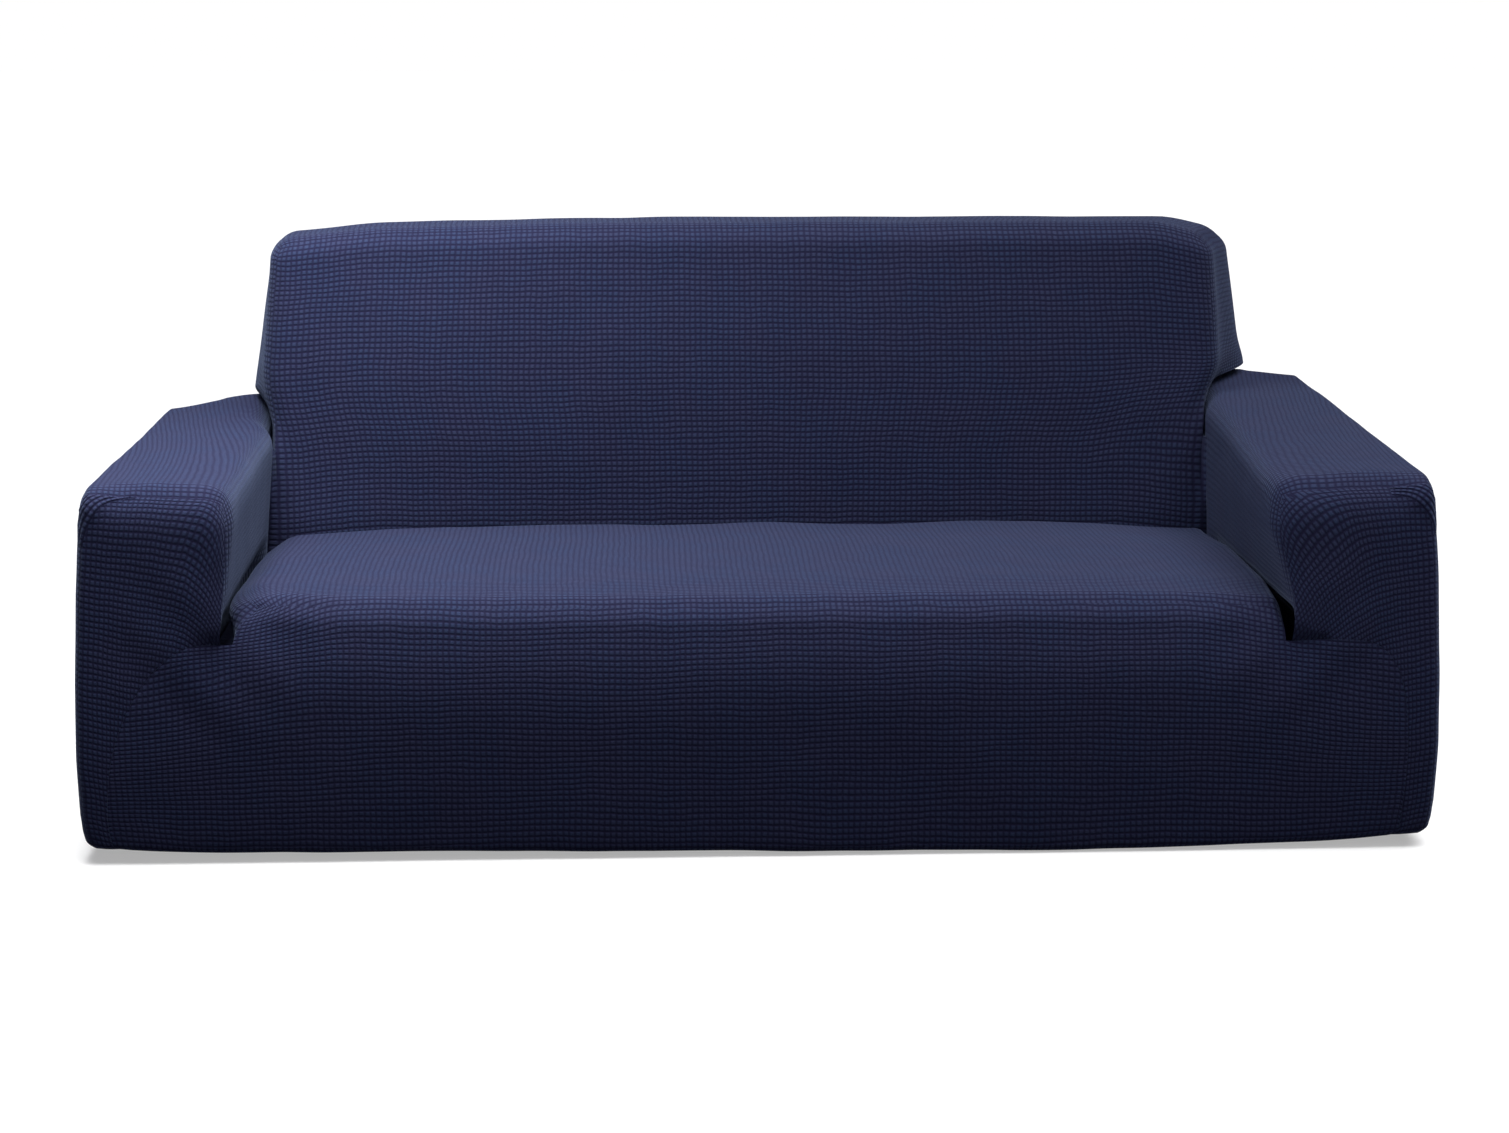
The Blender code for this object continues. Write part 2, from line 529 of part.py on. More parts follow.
def lay_out_front_of_end(shell, end):
    """The flat front of an arm and of the skirt's end, parted by the sleeve's curved seam."""
    sleeve = "arm_sleeve_" + end["name"]
    columns = arm_columns(end, end["inner"])
    rows = SKIRT_UP + TUCK_UP[1:] + ARM_UP[1:]
    seam = front_seam(end)
    skirt_hem = spread(columns[-1], seam[-1][0], SKIRT_SIDE_COLUMNS)
    sleeve_hem = arm_columns(end, end["seam_x"])
    points = list(seam)
    points += [(x, h) for x in (columns[0], columns[-1]) for h in rows]
    points += [(x, rows[-1]) for x in columns[1:-1]]
    points += [(x, rows[0]) for x in skirt_hem[1:-1] + sleeve_hem[1:-1]]
    points += [(x, h) for x in columns[1:-1] for h in rows[1:-1] if clear_of(seam, (x, h))]
    points = list(dict.fromkeys(points))
    links = [(i, i + 1) for i in range(SEAM_STEPS)]
    result = delaunay_2d_cdt([Vector(point) for point in points], links, [], 0, 1e-7)
    sources = result[3]
    for face in result[2]:
        corners = [points[sources[i][0]] for i in face]
        middle = [sum(values) / 3 for values in zip(*corners)]
        piece = "seat_and_skirt" if under(seam, middle, end["side"]) else sleeve
        shell.face(piece, [(x, 0.0, h) for x, h in corners])
    shell.grid("seat_and_skirt", [[(x, 0.0, h) for x in skirt_hem] for h in HEM_UP])
    shell.grid(sleeve, [[(x, 0.0, h) for x in sleeve_hem] for h in HEM_UP])


def lay_out_outside_back(shell):
    piece = "outside_back"
    arm_left, arm_right = (arm_columns(end, end["inner"]) for end in ENDS)
    across = arm_left + ACROSS + arm_right[::-1]
    shell.grid(piece, [[(x, DEPTH, h) for x in across]
                       for h in HEM_UP + SKIRT_UP[1:] + TUCK_UP[1:]])
    shell.grid(piece, [[(x, DEPTH, h) for x in ACROSS] for h in BACK_UP])
    for columns in (arm_left, arm_right):
        shell.grid(piece, [[(x, DEPTH, h) for x in columns] for h in ARM_UP])


# ---- from the shell to separate pieces with their thickness --------------------------------------
def inward_along(face, edge):
    """Unit direction in the face, square to one of its edges and pointing into the face."""
    along = (edge.verts[1].co - edge.verts[0].co).normalized()
    across = face.normal.cross(along).normalized()
    middle = (edge.verts[0].co + edge.verts[1].co) / 2
    return across if across.dot(face.calc_center_median() - middle) > 0 else -across


def seam_pulls(shell, piece):
    """How each seam point of a piece moves back from the seam, as vertex index to vector."""
    found = {}
    for edge in shell.mesh.edges:
        own = [face for face in edge.link_faces if shell.pieces[face] == piece]
        if len(own) != 1 or len(edge.link_faces) != 2:
            continue
        direction = inward_along(own[0], edge)
        for vert in edge.verts:
            found.setdefault(vert.index, []).append(direction)
    pulls = {}
    for index, directions in found.items():
        first, last = directions[0], directions[-1]
        spread_factor = max(0.35, 1.0 + first.dot(last)) if len(directions) > 1 else 1.0
        total = first + last if len(directions) > 1 else first
        pulls[index] = total * (SEAM_PULL / spread_factor)
    return pulls


def rim_triangles(corner, number, count):
    """Rim under one edge; both pieces at a seam split it along the same diagonal."""
    start, stop = corner.vert.index, corner.link_loop_next.vert.index
    a, b = number[start], number[stop]
    if start < stop:
        return [[b, a, b + count], [a, a + count, b + count]]
    return [[b, a, a + count], [b, a + count, b + count]]


def sheet_mesh(shell, piece):
    """One piece as a closed sheet: its face, its underside and the rim between them."""
    pulls = seam_pulls(shell, piece)
    faces = [face for face in shell.mesh.faces if shell.pieces[face] == piece]
    number = {}
    places = []
    for face in faces:
        for vert in face.verts:
            if vert.index not in number:
                number[vert.index] = len(places)
                places.append((vert, vert.co + pulls.get(vert.index, Vector())))
    count = len(places)
    outside = [place for _, place in places]
    underside = [place - vert.normal * (THICKNESS * min(SHARPEST, vert.calc_shell_factor()))
                 for vert, place in places]
    polygons = []
    for face in faces:
        loop = [number[vert.index] for vert in face.verts]
        polygons.append(loop)
        polygons.append([i + count for i in reversed(loop)])
        for corner in face.loops:
            if sum(shell.pieces[other] == piece for other in corner.edge.link_faces) == 1:
                polygons += rim_triangles(corner, number, count)
    mesh = bpy.data.meshes.new(piece)
    mesh.from_pydata([tuple(place) for place in outside + underside], [], polygons)
    mesh.validate()
    return mesh


def knit_material(name):
    material = bpy.data.materials.new(name)
    material.use_nodes = True
    shader = material.node_tree.nodes["Principled BSDF"]
    shader.inputs["Base Color"].default_value = NAVY
    shader.inputs["Roughness"].default_value = CLOTH_ROUGHNESS
    shader.inputs["Metallic"].default_value = 0.0
    return material


def add_piece(shell, piece, cover):
    mesh = sheet_mesh(shell, piece)
    mesh.materials.append(knit_material("knit_" + piece))
    mesh.shade_smooth()
    mesh.set_sharp_from_angle(angle=pi / 4)
    thing = bpy.data.objects.new(piece, mesh)
    thing.parent = cover
    bpy.context.collection.objects.link(thing)


def main():
    for thing in list(bpy.data.objects):
        bpy.data.objects.remove(thing, do_unlink=True)
    shell = Shell()
    lay_out_seat_and_skirt(shell)
    lay_out_inside_back(shell)
    lay_out_outside_back(shell)
    for end in ENDS:
        lay_out_sleeve(shell, end)
        lay_out_front_of_end(shell, end)
    shell.face_outward()
    cover = bpy.data.objects.new("cover", None)
    cover.location = -ORIGIN
    bpy.context.collection.objects.link(cover)
    for piece in sorted(set(shell.pieces.values())):
        add_piece(shell, piece, cover)
    shell.mesh.free()


main()
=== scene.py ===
"""Looks of a stretch slipcover: navy waffle knit drawn tight over a sofa that isn't shown.

Each of the five cut pieces is laid out as the part's own source does it, in finer steps: first on
the square planes of the form, as (x, y, h), with x across, y back from the front plane and h up
from the hem, and then draped.  The knit's cells are laid out on the same planes, so courses and
columns run on around every edge.
"""

from math import asinh, atan, atan2, cos, exp, pi, sin, tan

import bmesh
import bpy
from mathutils import Euler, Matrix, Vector, noise
from mathutils.geometry import delaunay_2d_cdt


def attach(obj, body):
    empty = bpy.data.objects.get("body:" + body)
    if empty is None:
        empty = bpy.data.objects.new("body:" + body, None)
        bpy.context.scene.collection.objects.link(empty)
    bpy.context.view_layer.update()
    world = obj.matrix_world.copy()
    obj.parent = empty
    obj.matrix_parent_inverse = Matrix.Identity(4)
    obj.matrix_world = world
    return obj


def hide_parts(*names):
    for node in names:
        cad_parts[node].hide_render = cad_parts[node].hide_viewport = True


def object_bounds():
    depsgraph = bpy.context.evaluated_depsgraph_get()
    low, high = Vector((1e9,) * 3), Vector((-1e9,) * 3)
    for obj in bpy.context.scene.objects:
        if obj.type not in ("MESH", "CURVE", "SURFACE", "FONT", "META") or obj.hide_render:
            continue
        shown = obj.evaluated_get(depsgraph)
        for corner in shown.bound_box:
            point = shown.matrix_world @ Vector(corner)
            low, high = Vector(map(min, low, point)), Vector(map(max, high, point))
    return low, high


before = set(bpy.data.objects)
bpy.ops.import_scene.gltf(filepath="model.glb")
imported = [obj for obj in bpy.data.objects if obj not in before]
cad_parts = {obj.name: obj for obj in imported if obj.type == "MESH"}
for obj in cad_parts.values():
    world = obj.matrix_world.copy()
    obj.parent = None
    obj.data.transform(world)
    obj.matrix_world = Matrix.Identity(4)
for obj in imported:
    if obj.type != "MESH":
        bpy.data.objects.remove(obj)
CAD_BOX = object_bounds()

# ---- overall sizes (m), as in the part's source ----
HALF_WIDTH = 0.904
DEPTH = 0.840
ARM_TOP = 0.488
SEAT_TOP = 0.340
BACK_TOP = 0.776
SEAT_HALF = 0.692
SEAT_DEPTH = 0.592
BACK_FRONT = 0.600
TUCK_FLOOR = 0.280
SIDE_TUCK_FLOOR = 0.440
THICKNESS = 0.002
TINY = 1e-6
SEAM_PULL = 0.0002
SEAM_SINK = 0.0007          # seams lie this much below the cloth around them
ORIGIN = Vector((0.0, 0.760, BACK_TOP - THICKNESS))

# ---- rounding ----
EDGE_X = 0.036
EDGE_Y = 0.042
ARM_EDGE_H = 0.032
SEAT_EDGE_H = 0.044
SEAT_FRONT_Y = 0.034        # the seat's edges are a little sharper than their mesh allows for
SEAT_FRONT_H = 0.037
SEAT_LONG_EDGE = 0.040       # radius of the seat's long edges behind its front corners
SEAT_CORNER_FADES = (0.02, 0.11)
BACK_EDGE_H = 0.036
ARM_INNER_X = 0.032
ARM_OUTER_X = 0.016
ARM_INNER_FRONT_Y = 0.030   # an arm's upright inner front edge
ARM_BROW_Y = 0.052          # an arm's top front edge is rounder than its long edges
ARM_BROW_H = 0.056
BROW_DEPTH = 0.090
BROW_FROM = 0.090
BROW_TO = 0.020
BROW_INSIDE = (0.840, 0.890)
HEM_RADIUS = 0.010
HEM_RETURN = 0.024

# ---- steps of the mesh ----
EDGE_STEPS = 6
STEP = 0.013                # between rows and columns on the flat stretches
SEAM_STEPS = 44
SEAM_CLEARANCE = 0.005
SHARPEST = 1.8              # limit on the thickness at a sharp edge
LEAST_SPREAD = 0.35         # limit on the pull at a sharp turn of a seam

# ---- the two ends; most entries are those of the part's source ----
# slope and shoulder: the back's top falls by slope from the share slope_from of its half-width, and
# by shoulder nearer its corner.  rear_bulge: what is left of arm_bulge just before the back.
# tuck_under: how far the inner wall stands back below its swell.  seat_spread: how far the seat's
# side swells towards it.  seat_corner: radius of the seat's front corner in plan.  corner_bend: how
# far the seat's courses run down there.  tilt: slope of the courses on an arm's front.  turn: their
# slope at its inner edge, turn_over: the width over which they turn to it, at the top and further
# down, and turn_shear: how much the columns turn with them.  fan: centre of the ribs over an arm's
# outer top corner, as distances in and down from the corner, and the radius of the first rib.
ENDS = (
    {"name": "left", "side": -1, "inner": 0.708, "bulge": 0.000, "slot_lift": 0.005,
     "seam_x": 0.864, "seam_power": 2.3, "rise": -0.003, "inner_rise": 0.023,
     "front_low": 0.716, "front_high": 0.699, "back_low": 0.740, "back_high": 0.704,
     "slope": 0.0065, "slope_from": 0.30, "shoulder": 0.0135, "shoulder_from": 0.76,
     "arm_bulge": 0.020, "bulge_from": 0.285, "bulge_to": 0.440, "rear_bulge": 0.0125,
     "tuck_under": 0.030, "seat_spread": 0.011,
     "seat_corner": 0.075, "corner_bend": 0.050, "tilt": 0.21, "turn": 1.5,
     "turn_over": (0.030, 0.062), "turn_shear": 0.10, "fan": (0.085, 0.075, 0.0770)},
    {"name": "right", "side": 1, "inner": 0.700, "bulge": 0.003, "slot_lift": -0.004,
     "seam_x": 0.857, "seam_power": 5.0, "rise": 0.040, "inner_rise": 0.010,
     "front_low": 0.730, "front_high": 0.716, "back_low": 0.790, "back_high": 0.756,
     "slope": 0.0020, "slope_from": 0.60, "shoulder": 0.0170, "shoulder_from": 0.86,
     "arm_bulge": 0.030, "bulge_from": 0.325, "bulge_to": 0.420, "rear_bulge": 0.0040,
     "tuck_under": 0.032, "seat_spread": 0.000,
     "seat_corner": 0.014, "corner_bend": 0.008, "tilt": 0.18, "turn": 0.95,
     "turn_over": (0.060, 0.140), "turn_shear": 0.35, "fan": (0.066, 0.076, 0.0600)},
)
SIDE_LEAN = ((0.00, 0.010), (0.02, 0.005), (0.05, 0.002), (0.13, 0.000), (0.23, 0.003),
             (0.35, 0.009), (0.40, 0.013), (0.45, 0.018), (0.49, 0.021))
HEM_LINE = ((-0.90, -0.001), (-0.45, -0.003), (-0.06, -0.008), (0.26, -0.012), (0.42, -0.013),
            (0.58, -0.010), (0.75, -0.007), (0.90, -0.003))
FLARE_START = 0.466
FLARE_LIP = 0.492
FLARE_END = 0.506
LIP_OUT = 0.012
FRONT_FLARE_FROM = 0.42
FRONT_FLARE_TO = 0.57
FLARE_BEHIND = 0.020
FLARE_BEFORE = 0.040

# ---- swell and folds ----
BACK_LEAN = 0.080
BACK_SWELL = 0.019
SLOPE_GROWS = 2.0           # the slope of the back's top is whole after half its half-width
SHOULDER_DEPTH = 0.180
LIP_CLIMB_REACH = 0.120
LIP_CLIMB_FROM = 0.700
SEAT_SWELL = 0.006
SEAT_CROWN_FROM = 0.170
SEAT_CROWN_BACK = 0.022
SEAT_CROWN_DOWN = 0.008
SEAT_CROWN_FADE = 0.130
SEAT_CROWN_ENDS = 0.070
SEAT_EDGE_LINE = ((-0.69, 0.010), (-0.55, 0.004), (-0.35, 0.000), (0.45, 0.000), (0.60, -0.003),
                  (0.69, -0.008))
ROUND_UP_TO = 0.010
SEAT_SPREAD_DOWN = 0.025    # the seat's sides are widest this far below its top
SEAT_SPREAD_REACH = 0.040
SEAT_SPREAD_GROWS = (0.01, 0.06)
SEAT_SPREAD_SHARE = (0.9, 1.0)
HEM_LEAN = 0.012
HEM_LEAN_FROM = 0.200
HEM_LEAN_FADE = 0.100
ARM_SWELL = 0.004
ARM_SWELL_AT = 0.80
ARM_SWELL_REACH = 0.11
ARM_BULGE_ACROSS = 0.070
ARM_BULGE_FADE = 0.050      # beside the back
ARM_CLIMB_DEPTH = 0.12
TUCK_DEEPER = 0.045         # the tucks beside the seat run down behind their open front ends
TUCK_DEEPER_GROWS = 0.030
TUCK_DEEPER_ENDS = 0.500
TUCK_UNDER_H = (0.292, 0.324)       # below these heights an arm's inner wall runs back under
CORNER_DIP = 0.012
CORNER_FROM_X = 0.42
CORNER_FROM_Y = 0.30
TUCK_RIPPLE = 0.003
RIPPLE_LENGTH = 0.31
RIPPLE_FADE = 0.06
RIPPLE_PHASE = 0.7
HEM_WAVE = 0.0025
HEM_WAVE_X = 0.83
HEM_WAVE_Y = 0.71
HEM_WAVE_PHASE = 0.9
HEM_FADE = 0.10
HEM_CORNER = 0.007
HEM_CORNER_REACH = 0.15
HEM_CORNER_FROM_X = 0.72
SLOT_REACH = 0.07
SLOT_LIFT_FROM = 0.45
SLOT_LIFT_END = (0.75, 0.85)
PULL_FOLD = 0.0010
PULL_SPACING = 0.11
PULL_GROWS = (0.01, 0.05)
PULL_FADES = (0.08, 0.17)
TUCK_GAP = 0.006            # the back's sides spread to this far from the arms
TUCK_GAP_FROM = (0.010, 0.060)      # between these distances behind the back's front
UNEVEN = 0.0016             # soft unevenness of the whole cloth
UNEVEN_SIZE = 0.16
UNEVEN_SMALL = 0.07
SMALL_SHARE = 0.5
FAN_RIBS = 5
FAN_PITCH = 0.0072
FAN_RIB_WIDTH = 0.0022
FAN_RIB_HEIGHT = 0.0016
FAN_ENDS = 0.10             # angle over which a rib grows at each end
FAN_STEPS = 26
FAN_RIB_STEPS = 4
FAN_MARGIN = 0.002
FAN_DEEP = (0.020, 0.050)   # the ribs fade out between these distances back

# ---- the knit ----
CELL = 0.0077               # pitch of the waffle on skirt, seat and arms
BACK_CELL = 0.0080          # stretched a little more over the back
SHEAR_AT = 0.020            # this far down an arm its columns are spaced evenly
TOP_CURVE = 0.17            # the columns on an arm's top curve outwards to the rear,
TOP_CURVE_TO = 0.50         # this far back
INNER_SLANT = 0.10          # slope of the courses on an arm's inner wall
OUTER_FADE = 0.14           # the front's slope fades out this far back on the outer side
ARM_TURN_DOWN = 0.13        # the courses' turn has its lower width this far down
ARM_TURN_GROWS = 0.02
ARM_TILT_OVER = (-0.05, 0.22)       # the courses' slope grows between these distances down
ARM_SHEAR_OVER = 0.20
ARM_TURN_SHEAR_FROM = 0.03
FRONT_DROOP = 0.040         # the front's courses run down this far towards its outer ends
FRONT_DROOP_X = (0.56, 0.88)
FRONT_DROOP_H = (0.02, 0.20)
CORNER_BEND_X = 0.54
CORNER_BEND_BELOW = 0.04
CORNER_BEND_FADES = (0.10, 0.45)
BACK_BEND = 0.012
BACK_BEND_X = 0.55
BACK_BEND_H = 0.50
# Gentle waves of the weave: size, and how fast it turns with the first and the second direction.
FRONT_WAVES = ((0.0016, 9.0, 14.0), (0.0012, 23.0, -31.0))
SEAT_WAVE = (0.0018, 12.0, 3.0)
BACK_WAVE = (0.0012, 7.0, 9.0)


def ease(start, stop, value):
    """0 at start, 1 at stop, smooth between and flat outside."""
    t = min(1.0, max(0.0, (value - start) / (stop - start)))
    return t * t * (3.0 - 2.0 * t)


def bump(centre, reach, value):
    """1 at the centre, falling smoothly to 0 at the reach on both sides."""
    return 1.0 - ease(0.0, reach, abs(value - centre))


def read_off(table, value):
    """Straight-line reading of a table of (value, reading) rows."""
    for (x0, y0), (x1, y1) in zip(table, table[1:]):
        if value <= x1:
            t = max(0.0, (value - x0) / (x1 - x0))
            return y0 + (y1 - y0) * t
    return table[-1][1]


def spread(start, stop, count):
    """Evenly spaced values from start to stop, both included."""
    return [start + (stop - start) * i / count for i in range(count + 1)]


def steps_over(length):
    """How many steps of the mesh fit this length."""
    return max(1, round(abs(length) / STEP))


def edge_offsets(radius):
    """Distances from a square edge that become even steps once the edge is rounded."""
    return [radius * (1.0 - tan(pi / 4 * (1 - i / EDGE_STEPS))) for i in range(EDGE_STEPS + 1)]


def run(start, stop, start_radius=0.0, stop_radius=0.0):
    """Values from start to stop, closer together within a radius of a rounded end."""
    flat_start, flat_stop = start + start_radius, stop - stop_radius
    middle = spread(flat_start, flat_stop, steps_over(flat_stop - flat_start))
    head = [start + d for d in edge_offsets(start_radius)[:-1]] if start_radius else []
    tail = [stop - d for d in reversed(edge_offsets(stop_radius)[:-1])] if stop_radius else []
    return head + middle + tail


def true_length(distance, radius):
    """Length along the cloth from the middle of a rounded edge to a point of the square form."""
    if distance >= radius:
        return distance - radius * (1.0 - pi / 4)
    return radius * (pi / 4 - atan(1.0 - distance / radius))


def inside_length(value, edge, radius):
    """Length along the cloth from 0 to a value on the near side of a rounded edge."""
    return true_length(edge, radius) - true_length(edge - value, radius)


def end_at(x):
    """The row of ENDS on this side of the middle."""
    return ENDS[0] if x < 0 else ENDS[1]


def weave_wave(wave, a, b):
    """One gentle wave of the weave, where the two directions are a and b."""
    size, first, second = wave
    return size * sin(a * first + b * second)


# ---- rows and columns shared by neighbouring pieces ----
ACROSS = run(-SEAT_HALF, SEAT_HALF, EDGE_X, EDGE_X)
SEAT_BACKWARD = run(0.0, SEAT_DEPTH, EDGE_Y, EDGE_Y)
SHOULDER_BACKWARD = run(BACK_FRONT, DEPTH, EDGE_Y, EDGE_Y)
HEM_UP = [-HEM_RETURN] + spread(-HEM_RADIUS, HEM_RADIUS, 6)
SKIRT_UP = run(HEM_RADIUS, TUCK_FLOOR)
TUCK_UP = run(TUCK_FLOOR, SIDE_TUCK_FLOOR)
ARM_UP = [SIDE_TUCK_FLOOR] + [ARM_TOP - d for d in reversed(edge_offsets(ARM_EDGE_H))]
SEAT_UP = [TUCK_FLOOR] + [SEAT_TOP - d for d in reversed(edge_offsets(SEAT_EDGE_H))]
BACK_UP = spread(SIDE_TUCK_FLOOR, FLARE_END, 8)[:-1] + run(FLARE_END, BACK_TOP, 0.0, BACK_EDGE_H)


def arm_columns(end, inner):
    """Columns of a sleeve from the outer side in to `inner`, at the same shares of any width."""
    full = HALF_WIDTH - end["inner"]
    shares = [x / full for x in run(0.0, full, ARM_OUTER_X, ARM_INNER_X)]
    return [end["side"] * (HALF_WIDTH - share * (HALF_WIDTH - inner)) for share in shares]


def front_seam(end):
    """Seam of a sleeve on the front: (x, h) from the slot's corner down to the hem."""
    seam = []
    for angle in spread(0.0, pi / 2, SEAM_STEPS):
        across = sin(angle) ** (2.0 / end["seam_power"])
        up = max(0.0, cos(angle) - 1e-9) ** (2.0 / end["seam_power"])
        x = end["inner"] + (end["seam_x"] - end["inner"]) * across
        seam.append((end["side"] * x, HEM_RADIUS + (TUCK_FLOOR - HEM_RADIUS) * up))
    return seam


def clear_of(seam, point):
    """Whether a point keeps the clearance from every stretch of the seam."""
    for start, stop in zip(seam, seam[1:]):
        a, along = Vector(start), Vector(stop) - Vector(start)
        share = min(1.0, max(0.0, (Vector(point) - a).dot(along) / along.length_squared))
        if (a + along * share - Vector(point)).length < SEAM_CLEARANCE:
            return False
    return True


def under(seam, point, side):
    """Whether a point lies on the skirt's side of the seam."""
    for start, stop in zip(seam, seam[1:]):
        along = Vector(stop) - Vector(start)
        if side * along.cross(Vector(point) - Vector(start)) > 0:
            return False
    return True


# ---- from the square shell to the draped shape ----
def round_off(point, limits, upright=1.0):
    """Moves a point of a box's surface onto the box with rounded edges.

    limits has, for each direction, (low, high, radius); None is no limit.  upright is how much of
    the rounding an upright edge gets, from 0 to 1.
    """
    cores = []
    scaled = []
    for value, (low, high, radius) in zip(point, limits):
        core = value
        if low is not None:
            core = max(core, low + radius)
        if high is not None:
            core = min(core, high - radius)
        cores.append(core)
        scaled.append((value - core) / radius)
    length = sum(s * s for s in scaled) ** 0.5
    if length <= 1.0:
        return Vector(point)
    rounded = Vector([core + (value - core) / length for core, value in zip(cores, point)])
    share = upright if scaled[0] and scaled[1] else 1.0
    return Vector(point).lerp(rounded, share)


def arm_climb(end, x, y):
    """How far an arm's top has climbed at x and y."""
    inward = 1.0 - ease(end["inner"], HALF_WIDTH, abs(x))
    beside_back = ease(BACK_FRONT - EDGE_Y, DEPTH, y)
    return end["rise"] * y / DEPTH + end["inner_rise"] * inward * beside_back


def fan_place(end, a, down, y=0.0):
    """Radius and angle around the centre of an arm's fan; radius 0 outside the fan's quarter."""
    inwards, lower, _ = end["fan"]
    aside, above = inwards - a + y, lower - down
    if aside <= 0.0 or above <= 0.0:
        return 0.0, 0.0
    return (aside ** 2 + above ** 2) ** 0.5, atan2(above, aside)


def fan_rib(end, x, y, h):
    """Height of the ribs that fan over an arm's outer top corner."""
    reach, angle = fan_place(end, HALF_WIDTH - x, ARM_TOP - h, y)
    first = end["fan"][2]
    if reach < first - FAN_PITCH:
        return 0.0
    ribs = [first + i * FAN_PITCH for i in range(FAN_RIBS)]
    height = sum(exp(-((reach - rib) / FAN_RIB_WIDTH) ** 2) for rib in ribs)
    ends = ease(0.0, FAN_ENDS, angle) * ease(0.0, FAN_ENDS, pi / 2 - angle)
    return FAN_RIB_HEIGHT * height * ends * (1.0 - ease(*FAN_DEEP, y))


def outward_at(x, y, h):
    """Direction out of the cloth near an arm's outer front corner, for x counted outwards."""
    out = max(0.0, 1.0 - (HALF_WIDTH - x) / ARM_OUTER_X)
    front = max(0.0, 1.0 - y / EDGE_Y)
    up = max(0.0, 1.0 - (ARM_TOP - h) / ARM_EDGE_H)
    return Vector((out, -front, up)).normalized() if out + front + up else Vector((0, 0, 0))


def arm_limits(end, x, y, h):
    """Walls of an arm with the radii of its edges at a point, for x counted outwards."""
    on_inner_half = x < (end["inner"] + HALF_WIDTH) / 2
    radius_x = ARM_INNER_X if on_inner_half else ARM_OUTER_X
    radius_y = ARM_INNER_FRONT_Y if on_inner_half else EDGE_Y
    brow = (1.0 - ease(0.0, BROW_DEPTH, y)) * (1.0 - ease(*BROW_INSIDE, x))
    high = ease(ARM_TOP - BROW_FROM, ARM_TOP - BROW_TO, h)
    radius_y += (ARM_BROW_Y - radius_y) * high * brow
    radius_h = ARM_EDGE_H + (ARM_BROW_H - ARM_EDGE_H) * brow
    has_wall = x >= end["inner"] - TINY and h > TUCK_FLOOR
    inner = end["inner"] if has_wall else None
    return (inner, HALF_WIDTH, radius_x), (0.0, DEPTH, radius_y), (None, ARM_TOP, radius_h)


def inner_bulge(end, x, y, h):
    """How far an arm swells towards the seat at a point, for x counted outwards."""
    inward = 1.0 - ease(end["inner"], end["inner"] + ARM_BULGE_ACROSS, x)
    up = (h - end["bulge_from"]) / (end["bulge_to"] - end["bulge_from"])
    along = 1.0 - ease(0.0, BACK_FRONT, y)
    bulge = end["rear_bulge"] + (end["arm_bulge"] - end["rear_bulge"]) * along
    bulge *= 1.0 - ease(BACK_FRONT, BACK_FRONT + ARM_BULGE_FADE, y)
    return bulge * inward * min(1.0, max(0.0, up))


def tucked_under(end, x, y, h):
    """How far an arm's inner wall stands back beside the seat, under its swell."""
    if abs(x - end["inner"]) > TINY or h < TUCK_FLOOR - TINY or y > SEAT_DEPTH:
        return 0.0
    along = ease(0.0, TUCK_DEEPER_GROWS, y) * (1.0 - ease(TUCK_DEEPER_ENDS, SEAT_DEPTH, y))
    return end["tuck_under"] * (1.0 - ease(*TUCK_UNDER_H, h)) * along


def drape_arm(x, y, h):
    """Sleeves, skirt and the lower part of the outside back."""
    end = end_at(x)
    upright = 1.0
    if abs(x) < end["inner"] + ARM_INNER_X:
        tuck = TUCK_FLOOR if y < BACK_FRONT else SIDE_TUCK_FLOOR
        upright = ease(tuck, ARM_TOP - ARM_EDGE_H, h)
    p = round_off((abs(x), y, h), arm_limits(end, abs(x), y, h), upright)
    p += outward_at(abs(x), y, h) * fan_rib(end, abs(x), y, h)
    p.x -= inner_bulge(end, abs(x), y, h)
    p.x += tucked_under(end, abs(x), y, h)
    outward = ease(end["inner"], HALF_WIDTH, p.x)
    p.x += (end["bulge"] - read_off(SIDE_LEAN, h)) * outward
    top = ease(ARM_TOP - ARM_CLIMB_DEPTH, ARM_TOP, p.z)
    swell = ARM_SWELL * bump(ARM_SWELL_AT, ARM_SWELL_REACH, p.x)
    p.z += top * (arm_climb(end, x, y) + swell)
    return Vector((p.x * end["side"], p.y, p.z))


